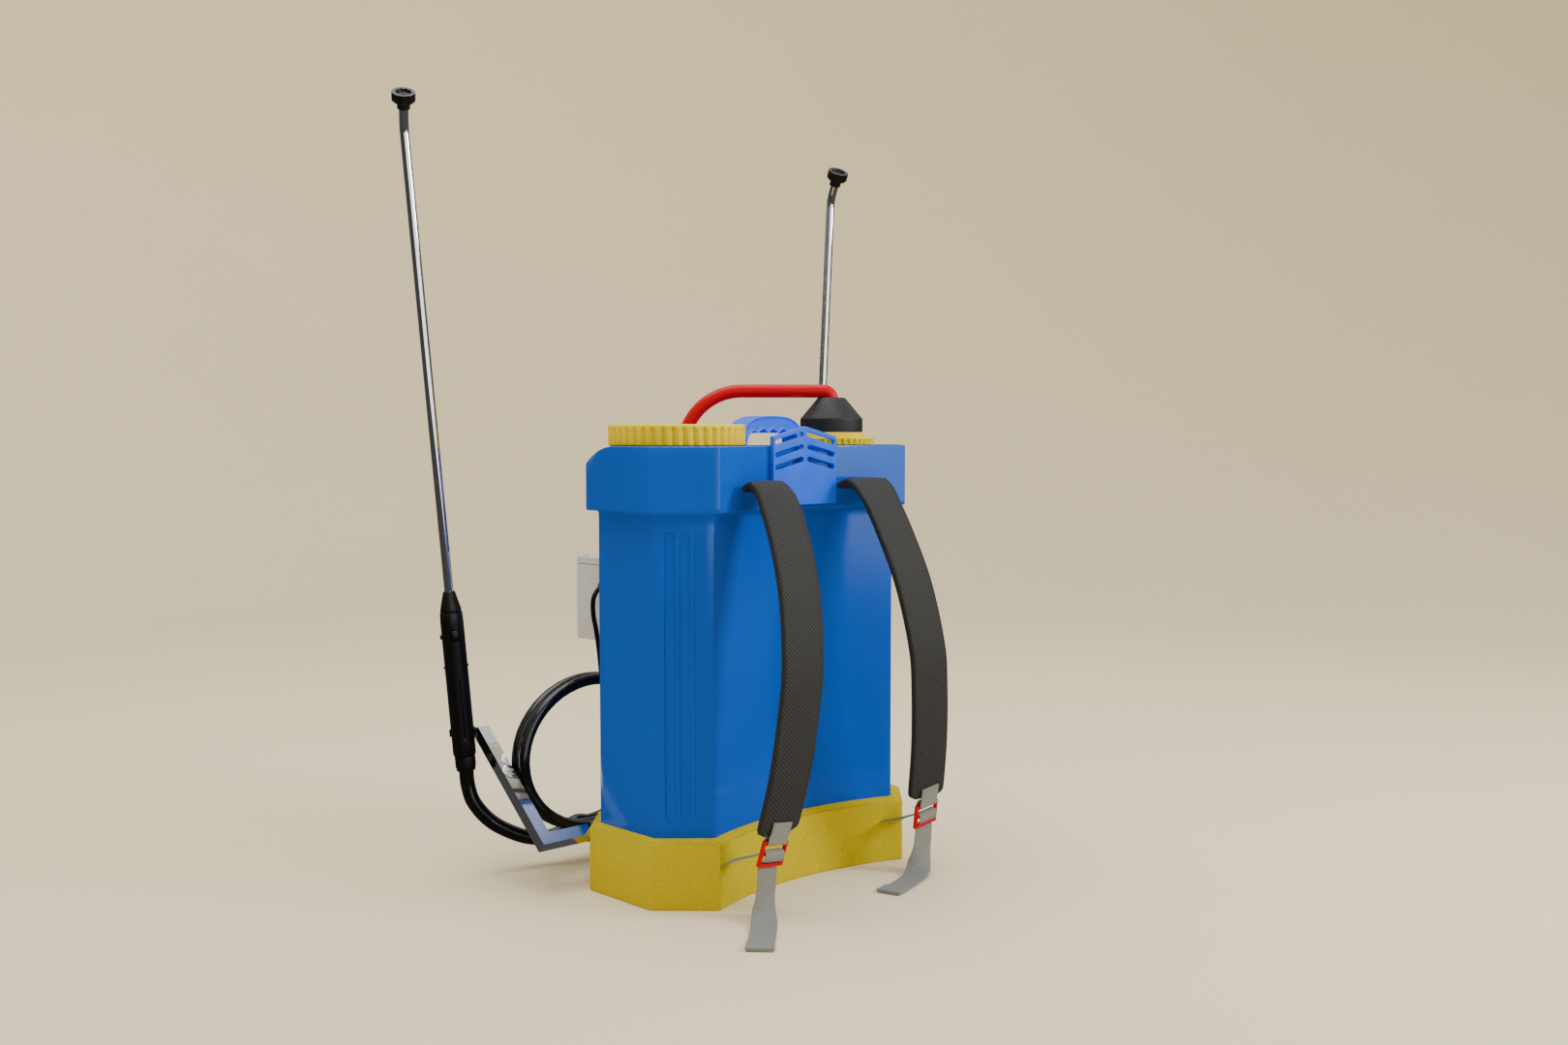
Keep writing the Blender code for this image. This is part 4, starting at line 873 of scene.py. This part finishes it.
def make_delivery_pipe():
    start = Vector((PUMP_X, 0, 0))
    end = Vector((*PIPE_END, 0))
    heading = (end - start).normalized()
    across = (end - start).length
    route = [start + UP * (DOME_TOP - 0.0065)]
    for i in range(13):
        angle = pi / 2 * i / 12
        route.append(start + heading * PIPE_BEND * (1 - cos(angle))
                     + UP * (PIPE_LEVEL - PIPE_BEND + PIPE_BEND * sin(angle)))
    for i in range(29):
        angle = pi / 2 * i / 28
        route.append(start + heading * (across - PIPE_ARC + PIPE_ARC * sin(angle))
                     + UP * (PIPE_LEVEL - PIPE_ARC + PIPE_ARC * cos(angle)))
    route.append(end + UP * PIPE_BOTTOM)
    pipe = tube("red_delivery_pipe", route, PIPE_RADIUS, 36, heading.cross(UP))
    place(pipe, red, "root", "red_plastic", "delivery_pipe")
    x, y = PIPE_END
    sleeve = rounded([(0, 0.240), (0.0105, 0.240), (0.0115, 0.2415), (0.0115, 0.262), (0.0130, 0.2640),
                      (0.0130, 0.280), (PIPE_RADIUS + 0.0004, 0.280), (PIPE_RADIUS + 0.0004, 0.2670),
                      (0, 0.2670)], 0.0007)
    nut = turned("hose_coupling_nut", sleeve, (x, y, 0), UP, 96, ribs(16, 0.0007, 0.2830))
    place(nut, black, "root", "black_plastic", "hose_coupling")


def arch(share, power, height):
    return height * (1 - abs(share) ** power) ** (1 / power)


def make_handle():
    """A thick arch with finger waves underneath and a recess in each side."""
    low = TANK_TOP + 0.0003
    outline = []
    steps = 56
    for i in range(steps + 1):
        share = cos(pi * i / steps)
        outline.append((HANDLE_X + HANDLE_HALF * share, low + arch(share, 2.8, HANDLE_TOP - low)))
    inner = HANDLE_HALF - HANDLE_LEG
    waves = 84
    for i in range(waves + 1):
        share = -cos(pi * i / waves)
        x = inner * share
        ripple = HANDLE_WAVE * cos(2 * pi * x / HANDLE_WAVE_PITCH) * arch(share, 2, 1)
        outline.append((HANDLE_X + x, low + arch(share, 4, HANDLE_OPENING) + ripple))
    handle = slab("top_handle", outline, -HANDLE_WIDTH / 2, HANDLE_WIDTH / 2)
    work = bmesh.new()
    work.from_mesh(handle.data)
    big = sorted(work.faces, key=lambda face: face.calc_area())[-2:]
    bmesh.ops.inset_individual(work, faces=big, thickness=0.0020, depth=0.0, use_even_offset=True)
    bmesh.ops.inset_individual(work, faces=big, thickness=0.0006, depth=-0.0010, use_even_offset=True)
    work.to_mesh(handle.data)
    work.free()
    handle.data.shade_smooth()
    handle.data.set_sharp_from_angle(angle=radians(30))
    place(bevel(handle, 0.0007, 2, 50), light_blue, "root", "light_blue", "carry_handle")


def slot_outline(sign, drop):
    """One slanted slot with round ends, as (x, z) points."""
    slope = atan2(PLATE_PEAK - PLATE_EAVE, PLATE_HALF)
    points = []
    for x, start in ((PLATE_HALF - 0.0055, -pi / 2), (0.0055, pi / 2)):
        z = PLATE_PEAK - tan(slope) * x - drop
        for i in range(9):
            angle = start + pi * i / 8 - slope
            points.append((sign * (x + SLOT_HALF * cos(angle)), z + SLOT_HALF * sin(angle)))
    return points


def make_plate():
    outline = [(-PLATE_HALF, PLATE_BOTTOM), (PLATE_HALF, PLATE_BOTTOM), (PLATE_HALF, PLATE_EAVE), (0, PLATE_PEAK),
               (-PLATE_HALF, PLATE_EAVE)]
    plate = slab("chevron_plate", outline, PLATE_FRONT, PLATE_BACK)
    cutters = []
    for sign in (-1, 1):
        for row in range(3):
            points = slot_outline(sign, 0.0075 + SLOT_PITCH * row)
            cutters.append(slab("slot_cutter", points, PLATE_FRONT - 0.005, PLATE_BACK + 0.005))
    carve(plate, cutters)
    place(bevel(plate, 0.0005, 2), light_blue, "root", "light_blue", "slotted_plate")


# Battery box and cable


def screw_head(name, origin, axis, radius):
    outer = rounded([(0, -0.0008), (radius, -0.0008), (radius, 0.0007), (radius * 0.8, 0.0012),
                     (radius * 0.34, 0.0012), (radius * 0.34, 0.0003), (0, 0.0003)], 0.0003)
    return turned(name, outer, origin, axis, 24)


def make_battery_box():
    joint = BOX_TOP - BOX_LID
    case = block("battery_housing", (BOX_LEFT, BOX_WALL_Y, BOX_BOTTOM), (BOX_RIGHT, BOX_OUTER, joint))
    t = 0.0025
    switch_mouth = block("mouth_cutter", (-0.086, BOX_OUTER - 0.010, 0.308), (-0.064, BOX_OUTER + 0.010, 0.330))
    inside = block("inside_cutter", (BOX_LEFT + t, BOX_WALL_Y + t, BOX_BOTTOM + t),
                   (BOX_RIGHT - t, BOX_OUTER - t, joint + 0.02))
    carve(case, [inside, switch_mouth])
    place(bevel(case, 0.0012, 3), grey, "root", "box_grey", "battery_case")
    lid = block("battery_cover", (BOX_LEFT, BOX_WALL_Y, joint + 0.0003), (BOX_RIGHT, BOX_OUTER, BOX_TOP))
    place(bevel(lid, 0.0014, 3), grey, "root", "box_grey", "battery_lid")
    heads = []
    for x in (BOX_LEFT + 0.008, BOX_RIGHT - 0.008):
        for y in (BOX_WALL_Y + 0.008, BOX_OUTER - 0.008):
            heads.append(screw_head("cover_screw", (x, y, BOX_TOP), UP, 0.0030))
    place(merge("battery_cover_screws", heads), steel, "root", "steel")
    route = smooth_route(CABLE_KNOTS, 64)
    cable = tube("battery_lead", route, CABLE_RADIUS, 16, Vector((0, 1, 0)))
    place(cable, rubber, "root", "black_rubber", "battery_cable")


# Hose


def coil_point(angle):
    """A point of the hose coil, counted from its lowest point nearest the lance."""
    x, z = COIL_CENTRE
    a, b = COIL_RADII
    y = COIL_START_Y - COIL_PITCH * angle / (2 * pi)
    return Vector((x + a * sin(angle), y, z - b * cos(angle)))


def make_hose():
    steps = 108
    turns = 2 * pi * COIL_TURNS
    coil = [coil_point(turns * (1 - i / steps)) for i in range(steps + 1)]
    lead = smooth_route(LEAD_KNOTS + [coil[0], coil[1]], 30)[:-1]
    route = lead[:-1] + coil
    hose = tube("hose_coiled", route, HOSE_RADIUS, 24)
    place(hose, rubber, "root", "black_rubber", "hose_coil", "hose_lead")
    low = coil[-1]
    before = coil_point(2 * pi / 48)
    knots = [low, coil_point(-2 * pi / 48)] + TAIL_KNOTS
    tail_route = smooth_route([before] + knots, 66)
    tail_route = [low] + [p for p in tail_route if p.x < low.x - 0.002]
    tail = tube("hose_to_lance", tail_route, HOSE_TAIL_RADIUS, 24)
    place(tail, rubber, None, "black_rubber", "hose_tail")
    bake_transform(tail)


# Lance


def grip_shape(turn, radius, height):
    """Long flutes in the lower half of the grip."""
    if not 0.018 < height < 0.088:
        return radius
    u = abs((turn * 8) % 1 - 0.5) / 0.13
    if u >= 1:
        return radius
    ends = min(1.0, (height - 0.018) / 0.004, (0.088 - height) / 0.004)
    return radius - 0.0009 * cos(pi / 2 * u) * ends


def make_grip():
    r = GRIP_RADIUS
    foot = GRIP_BOTTOM
    axis = LANCE_AXIS
    ferrule = rounded([(0, -0.0173), (0.0104, -0.0173), (0.0108, -0.0140), (0.0114, -0.0125), (0.0114, -0.0003),
                       (0, -0.0003)], 0.0008)
    place(turned("hose_collar", ferrule, foot, axis, 64), grip_black, "lever", "black_plastic", "hose_ferrule")
    profile = [(0, 0), (r - 0.0016, 0), (r - 0.0004, 0.0010), (r, 0.0024), (r, 0.0140)]
    profile += [(r, z) for z in ladder(0.0165, 0.0895, 0.001)]
    profile += [(r, GRIP_LENGTH - 0.012), (r - 0.0004, GRIP_LENGTH - 0.001), (r - 0.0010, GRIP_LENGTH),
                (0, GRIP_LENGTH)]
    grip = turned("lance_grip", profile, foot, axis, 96, grip_shape, angle=40)
    toward = (TRIGGER_FACING - axis * axis.dot(TRIGGER_FACING)).normalized()
    sideways = axis.cross(toward)
    spot = foot + axis * TRIGGER_HEIGHT + toward * r
    loops = [[spot + toward * d + axis * (a * 0.0065) + sideways * (b * 0.0045)
              for a, b in ((-1, -1), (1, -1), (1, 1), (-1, 1))] for d in (-0.0075, 0.010)]
    carve(grip, [loft("button_cutter", loops)], angle=40)
    place(grip, grip_black, "lever", "black_plastic", "grip_body")
    loops = []
    for d, size in ((-0.0040, 1.0), (0.0024, 1.0), (0.0036, 0.93), (0.0042, 0.78)):
        loop = []
        for i in range(24):
            angle = 2 * pi * i / 24
            a = copysign(abs(cos(angle)) ** 0.5, cos(angle)) * 0.0060 * size
            b = copysign(abs(sin(angle)) ** 0.5, sin(angle)) * 0.0040 * size
            loop.append(spot + toward * d + axis * a + sideways * b)
        loops.append(loop)
    place(loft("trigger", loops, angle=50), grip_black, "trigger", "black_plastic", "trigger_button")
    nose = rounded([(LANCE_RADIUS + 0.0004, 0.0003), (r - 0.0012, 0.0003), (r - 0.0012, 0.0030),
                    (0.0066, NOSE_LENGTH), (LANCE_RADIUS + 0.0004, NOSE_LENGTH)], 0.0006)
    place(turned("grip_nose_cone", nose, foot + axis * GRIP_LENGTH, axis, 64, closed=True), grip_black, "lever",
          "black_plastic", "grip_nose")
    middle = foot + axis * 0.1016
    bumps = [turned("seam_pin", rounded([(0, -r - 0.0013), (0.0013, -r - 0.0013), (0.0013, r + 0.0013),
                                         (0, r + 0.0013)], 0.0005), middle, sideways, 16)]
    knob = rounded([(0, r - 0.002), (0.0026, r - 0.002), (0.0026, r + 0.0018), (0, r + 0.0018)], 0.0008)
    bumps.append(turned("lock_knob", knob, foot + axis * (TRIGGER_HEIGHT - 0.002), -sideways, 24))
    place(merge("grip_pins", bumps), grip_black, "lever", "black_plastic")


def lance_route(start, bend, axis, tip_axis):
    knee = 0.010
    low = bend - axis * knee
    high = bend + tip_axis * knee
    route = [start, start.lerp(low, 0.5), low]
    for i in range(1, 12):
        t = i / 12
        route.append(low * (1 - t) ** 2 + bend * 2 * t * (1 - t) + high * t * t)
    route.append(high)
    route.append(bend + tip_axis * (NOZZLE_START - 0.0003))
    return route


def lobes(count, depth, low, high):
    def shape(turn, radius, height):
        if not low < height < high:
            return radius
        u = abs((turn * count) % 1 - 0.5) / 0.24
        if u >= 1:
            return radius
        return radius - depth * cos(pi / 2 * u)

    return shape


def make_nozzle(name, node_prefix, bend, tip_axis, body, cap_body):
    base = bend + tip_axis * NOZZLE_START
    radius, height = NOZZLE_COLLAR
    core = rounded([(0, 0), (radius, 0), (radius, height), (0, height)], 0.0005)
    place(turned(f"{name}_collar", core, base, tip_axis, 48), black, body, "black_plastic",
          f"{node_prefix}nozzle_body")
    cup = rounded([(0, 0.0003), (radius, 0.0003), (radius, 0.0025), (0.0104, 0.0031), (0.0108, 0.0046),
                   (NOZZLE_RADIUS, 0.0050), (NOZZLE_RADIUS, 0.0144), (0.0088, 0.0144), (0.0076, 0.0112),
                   (0.0032, 0.0108), (0.0028, 0.0122), (0.0009, 0.0122), (0.0007, 0.0110), (0, 0.0110)], 0.0007, 4)
    cap = turned(f"{name}_cap", cup, base + tip_axis * height, tip_axis, 128, lobes(9, 0.0013, 0.0050, 0.0143),
                 angle=40)
    place(cap, black, cap_body, "black_plastic", f"{node_prefix}nozzle_cap")


def make_lances():
    bend = GRIP_BOTTOM + LANCE_AXIS * LANCE_BEND
    start = GRIP_BOTTOM + LANCE_AXIS * (GRIP_LENGTH + 0.0006)
    rod = tube("lance_rod", lance_route(start, bend, LANCE_AXIS, TIP_AXIS), LANCE_RADIUS, 40)
    place(rod, chrome, "lever", "chrome", "lance_tube")
    make_nozzle("lance_nozzle", "", bend, TIP_AXIS, "lever", "nozzle")
    start = SPARE_BEND - SPARE_AXIS * (SPARE_LENGTH - 0.0004)
    rod = tube("spare_lance_rod", lance_route(start, SPARE_BEND, SPARE_AXIS, SPARE_TIP_AXIS), LANCE_RADIUS, 32)
    place(rod, chrome, "root", "chrome", "spare_lance_tube")
    make_nozzle("spare_lance_nozzle", "spare_", SPARE_BEND, SPARE_TIP_AXIS, "root", "spare_nozzle")
    nut = rounded([(0, -0.022), (0.0085, -0.022), (0.0095, -0.020), (0.0095, -0.004), (0.0070, 0.0), (0, 0.0)],
                  0.0006)
    end = SPARE_BEND - SPARE_AXIS * SPARE_LENGTH
    place(turned("spare_lance_nut", nut, end, SPARE_AXIS, 96, ribs(12, 0.0008, 0.0), angle=50), black, "root",
          "black_plastic", "spare_coupling_nut")


# Straps


def mirrored(points, sign):
    return [Vector((sign * p[0], p[1], p[2])) for p in points]


def pad_section(half, thick, crown):
    """Cross-section of a pad: crowned faces, a sewn channel near each edge, and rounded taped edges."""
    seam = half * PAD_SEAM / (PAD_WIDTH / 2)
    face = []
    for share in (0.0, 0.2, 0.4, 0.6, 0.75, 0.85, 0.89, 0.905, 0.921, 0.937, 0.952, 0.965):
        a = half * share
        dip = 0.0004 * exp(-(((a - seam) / 0.0005) ** 2))
        face.append((a, -crown * share * share - dip))
    edge = []
    reach = half * 0.035
    for i in range(1, 8):
        angle = pi * i / 8
        edge.append((half * 0.965 + reach * sin(angle),
                     -crown * 0.95 - (thick - 2 * crown * 0.95) * (1 - cos(angle)) / 2))
    right = face + edge + [(a, -thick - b) for a, b in reversed(face)]
    left = [(-a, b) for a, b in reversed(right)][1:-1]
    return right + left


def make_pad(side, sign):
    count = 118
    route = smooth_route(mirrored(PAD_KNOTS, sign), count)
    level = Vector((1, 0, 0))
    wall_side = Vector((1, -sign * 0.211, 0)).normalized()
    sides = [wall_side.lerp(level, min(i / 16, 1.0)) for i in range(count)]
    total = length_of(route)
    corner = 0.0085

    def section(i):
        left = total * (1 - i / (count - 1))
        half = PAD_WIDTH / 2
        thick = PAD_THICK
        if left < corner:
            half -= corner - sqrt(corner**2 - (corner - left) ** 2)
            thick *= 0.72 + 0.28 * left / corner
        return [(a, b - (PAD_THICK - thick) / 2) for a, b in pad_section(half, thick, 0.0011)]

    pad = strip(f"shoulder_pad_{side}", route, sides, section, 60)
    place(pad, pad_mesh, "root", "strap_mesh", f"strap_pad_{side}")
    pad.data.materials.append(black_tape)
    size = len(section(0))
    for face in pad.data.polygons:
        columns = [v % size for v in face.vertices]
        spots = [section(10)[c][0] for c in columns] if len(columns) == 4 else [1.0]
        if min(abs(a) for a in spots) > PAD_SEAM + 0.0006:
            face.material_index = 1
    stitches = []
    heads = directions(route)
    pitch = 0.0042
    for edge in (-PAD_SEAM, PAD_SEAM):
        for k in range(4, int((total - 0.011) / pitch)):
            at = k * pitch / total * (count - 1)
            i = int(at)
            spot = route[i].lerp(route[i + 1], at - i)
            outward = heads[i].cross(sides[i]).normalized()
            middle = spot + sides[i] * edge - outward * 0.00125
            ends = [middle - heads[i] * 0.0014, middle - heads[i] * 0.0009 + outward * 0.0004,
                    middle + heads[i] * 0.0009 + outward * 0.0004, middle + heads[i] * 0.0014]
            stitches.append(tube("stitch", ends, 0.00035, 6, sides[i]))
    place(merge(f"pad_stitching_{side}", stitches), thread, "root", "strap_mesh")


def web_section(width, thick):
    half = width / 2
    h = thick / 2
    edge = [(half - h * 0.6, h), (half - h * 0.15, h * 0.6), (half, 0.0), (half - h * 0.15, -h * 0.6),
            (half - h * 0.6, -h)]
    face = [(half * s, h) for s in (0.0, 0.3, 0.6)]
    under = [(half * s, -h) for s in (0.6, 0.3, 0.0)]
    right = face + edge + under
    left = [(-a, b) for a, b in reversed(right)][1:-1]
    return right + left


def buckle_frame(sign):
    """The buckle's centre, its directions across, up and outward, and half its height."""
    top, bottom = mirrored([BUCKLE_TOP, BUCKLE_BOTTOM], sign)
    up = (top - bottom).normalized()
    side = Vector((1, 0, 0)) - up * up.x
    side.normalize()
    return (top + bottom) / 2, side, up, side.cross(up), (top - bottom).length / 2


def make_buckle(side, sign):
    centre, across, up, outward, half = buckle_frame(sign)

    def bar(name, ends, low, high, depth=0.0022):
        a0, a1 = ends
        corners = [(a0, low), (a1, low), (a1, high), (a0, high)]
        loops = [[centre + across * a + up * b + outward * n for a, b in corners] for n in (-depth, depth)]
        return loft(name, loops)

    buckle = bar(f"ladder_buckle_{side}", (-BUCKLE_HALF, BUCKLE_HALF), -half, half)
    slots = [bar("slot_cutter", (-0.0142, 0.0142), 0.0020, half - 0.0035, 0.01),
             bar("slot_cutter", (-0.0142, 0.0142), -half + 0.0035, -0.0020, 0.01)]
    carve(buckle, slots)
    place(bevel(buckle, 0.0009, 3), red, "root", "red_plastic", f"buckle_{side}")

    def spot(u, n):
        return centre + up * u + outward * n

    wrap = [(0.0205, 0.0036), (0.0105, 0.0037), (0.0062, 0.0034), (0.0030, 0.0028), (-0.0012, 0.0034),
            (-0.0036, 0.0026), (-0.0047, 0.0), (-0.0036, -0.0026), (-0.0010, -0.0034), (0.0028, -0.0022),
            (0.0052, -0.0010)]
    tab_route = smooth_route([spot(half + u, n) for u, n in wrap], 44)
    tab = strip(f"pad_tab_{side}", tab_route, [across] * 44, lambda i: web_section(WEB_WIDTH, TAB_THICK))
    place(tab, webbing, "root", "grey_webbing", f"strap_tab_{side}")
    cross = []
    for a in (-0.0115, 0.0115):
        for k in range(3):
            here = spot(half + 0.0110 + k * 0.0032, 0.0045) + across * a
            cross.append(tube("stitch", [here - up * 0.0012, here + outward * 0.0002, here + up * 0.0012], 0.0003, 6,
                              across))
    for k in range(7):
        here = spot(half + 0.0180, 0.0045) + across * (-0.0102 + k * 0.0034)
        cross.append(tube("stitch", [here - across * 0.0012, here + outward * 0.0002, here + across * 0.0012],
                          0.0003, 6, up))
    place(merge(f"tab_stitching_{side}", cross), webbing, "root", "grey_webbing")

    laps = [(-0.0046, -0.0046), (-0.0008, -0.0042), (0.0022, -0.0028), (0.0033, 0.0), (0.0022, 0.0030),
            (-0.0012, 0.0044), (-0.0050, 0.0042), (-0.0080, 0.0024), (-0.0094, -0.0004), (-0.0112, -0.0034),
            (-0.0142, -0.0036), (-0.0178, -0.0010)]
    knots = [spot(u, n) for u, n in laps] + [Vector((x, y, z + STRAP_LIFT)) for x, y, z in TAIL_WEB[side]]
    count = 110
    route = smooth_route(knots, count)
    heading = Vector(TAIL_WEB[side][-1]) - Vector(TAIL_WEB[side][-2])
    laid = Vector((-heading.y, heading.x, 0)).normalized()
    if laid.x < 0:
        laid = -laid
    sides = []
    for i, along in enumerate(directions(route)):
        share = min(max((i - 36) / 44, 0.0), 1.0)
        share = share * share * (3 - 2 * share)
        wide = across.lerp(laid, share)
        sides.append((wide - along * wide.dot(along)).normalized())
    tail = strip(f"webbing_tail_{side}", route, sides, lambda i: web_section(WEB_WIDTH, STRAP_THICK))
    place(tail, webbing, "root", "grey_webbing", f"web_tail_{side}")
    fold = route[-14:]
    lift = [p + UP * 0.0014 for p in fold]
    end = strip(f"tail_end_{side}", lift, sides[-14:], lambda i: web_section(WEB_WIDTH + 0.0014, HEM_THICK))
    place(end, webbing, "root", "grey_webbing")

    lower = smooth_route(mirrored(LOWER_WEB_KNOTS, sign) + [spot(-0.0020, -0.0062), spot(0.0006, -0.0046)], 26)
    wall_side = Vector((1, -sign * 0.34, 0)).normalized()
    level = Vector((1, 0, 0))
    lower_sides = [wall_side.lerp(level, min(i / 13, 1.0)) for i in range(26)]
    web = strip(f"lower_webbing_{side}", lower, lower_sides, lambda i: web_section(WEB_WIDTH, STRAP_THICK))
    place(web, webbing, "root", "grey_webbing", f"lower_web_{side}")


# CAD nodes that stay


def finish_nodes():
    kept = {
        "base_plate": yellow, "lid_seal": seal_rubber, "strainer_basket": white, "pump_cylinder": white,
        "piston_rod": steel, "pipe_bracket": black, "battery_pack": black, "rocker_switch": red,
        "cable_gland_upper": black, "cable_gland_lower": black, "diaphragm_pump": black, "pump_motor": steel,
        "pump_lever": chrome, "lever_shaft": steel, "shaft_bush": black, "shaft_bearing": black,
        "crank_arm": steel, "lance_clip": grip_black, "spare_clip_upper": black, "spare_clip_lower": black,
        "hose_hook": black,
    }
    widths = {"pump_lever": 0.0007, "lance_clip": 0.0004, "hose_hook": 0.0006, "pipe_bracket": 0.0005,
              "spare_clip_upper": 0.0004, "spare_clip_lower": 0.0004, "rocker_switch": 0.0005}
    for name, material in kept.items():
        node = nodes[name]
        node.data.materials.clear()
        node.data.materials.append(material)
        if name in widths:
            bevel(node, widths[name], 2)


# Camera, floor and light


def make_camera():
    data = bpy.data.cameras.new("camera")
    data.sensor_width = 36.0
    data.lens = CAMERA_LENS
    camera = bpy.data.objects.new("camera", data)
    bpy.context.collection.objects.link(camera)
    x, y = CAMERA_HEADING
    look = Vector((x * cos(CAMERA_PITCH), y * cos(CAMERA_PITCH), -sin(CAMERA_PITCH)))
    camera.location = CAMERA_PLACE
    camera.rotation_mode = "QUATERNION"
    camera.rotation_quaternion = look.to_track_quat("-Z", "Y")
    bpy.context.scene.camera = camera


def make_floor():
    """A floor that curves up into a wall all round."""
    flat = 2.6
    sweep = 2.0
    profile = [(0, 0), (1.3, 0), (flat, 0)]
    for i in range(1, 25):
        angle = pi / 2 * i / 24
        profile.append((flat + sweep * sin(angle), sweep * (1 - cos(angle))))
    profile.append((flat + sweep, 3.2))
    floor = turned("studio_floor", profile, (0, 0, 0), UP, 96, angle=80, capped=False)
    for face in floor.data.polygons:
        if face.normal.z < 0 and face.center.z < 0.01:
            floor.data.flip_normals()
            break
    material, tree, shader = new_material("pale_floor", FLOOR, 0.85)
    where = add_node(tree, "TexCoord").outputs["Object"]
    tint = blend_colours(tree, noise(tree, where, 3.0), scaled(FLOOR, 0.985), scaled(FLOOR, 1.01))
    tree.links.new(tint, shader.inputs["Base Color"])
    floor.data.materials.append(material)
    floor.visible_glossy = False


def add_light(name, place_at, target, size, power):
    data = bpy.data.lights.new(name, "AREA")
    data.shape = "RECTANGLE"
    data.size, data.size_y = size
    data.energy = power
    light = bpy.data.objects.new(name, data)
    light.location = place_at
    light.rotation_mode = "QUATERNION"
    light.rotation_quaternion = (Vector(target) - Vector(place_at)).to_track_quat("-Z", "Y")
    light.visible_camera = False
    bpy.context.collection.objects.link(light)


def make_world():
    """A soft studio: a pale sky, a tall soft box in front of the wearer's side, and dark low surroundings."""
    world = bpy.data.worlds.new("studio")
    world.use_nodes = True
    tree = world.node_tree
    background = tree.nodes["Background"]
    background.inputs["Color"].default_value = (1.0, 0.99, 0.97, 1.0)
    where = add_node(tree, "TexCoord").outputs["Generated"]
    split = add_node(tree, "SeparateXYZ")
    tree.links.new(where, split.inputs["Vector"])
    toward = add_node(tree, "VectorMath", operation="DOT_PRODUCT")
    toward.inputs[1].default_value = SOFT_BOX
    tree.links.new(where, toward.inputs[0])
    sky = spread_value(tree, split.outputs["Z"], SHADE, SKY, 0.10, 0.55)
    side = spread_value(tree, toward.outputs["Value"], 0.0, 1.0, 0.74, 0.80)
    low = spread_value(tree, split.outputs["Z"], 0.0, BOX_LIGHT, -0.10, -0.07)
    total = maths(tree, "ADD", sky, maths(tree, "MULTIPLY", side, low))
    leftward = spread_value(tree, split.outputs["X"], 0.72, 1.0, -0.9, -0.1)
    tree.links.new(maths(tree, "MULTIPLY", total, leftward), background.inputs["Strength"])
    bpy.context.scene.world = world


def make_light():
    make_world()
    aim = (0.0, 0.0, 0.25)
    add_light("overhead_panel", (-0.3, 0.2, 2.9), aim, (2.6, 2.4), 70.0)
    add_light("front_panel", (1.5, -2.3, 1.5), aim, (0.9, 0.9), 52.0)


make_camera()
make_battery_box()
make_hose()
make_tank()
make_base()
make_lid()
make_pump_head()
make_delivery_pipe()
make_handle()
make_plate()
make_grip()
make_lances()
for strap_side, strap_sign in (("left", -1), ("right", 1)):
    make_pad(strap_side, strap_sign)
    make_buckle(strap_side, strap_sign)
finish_nodes()
make_floor()
make_light()

bpy.context.view_layer.update()
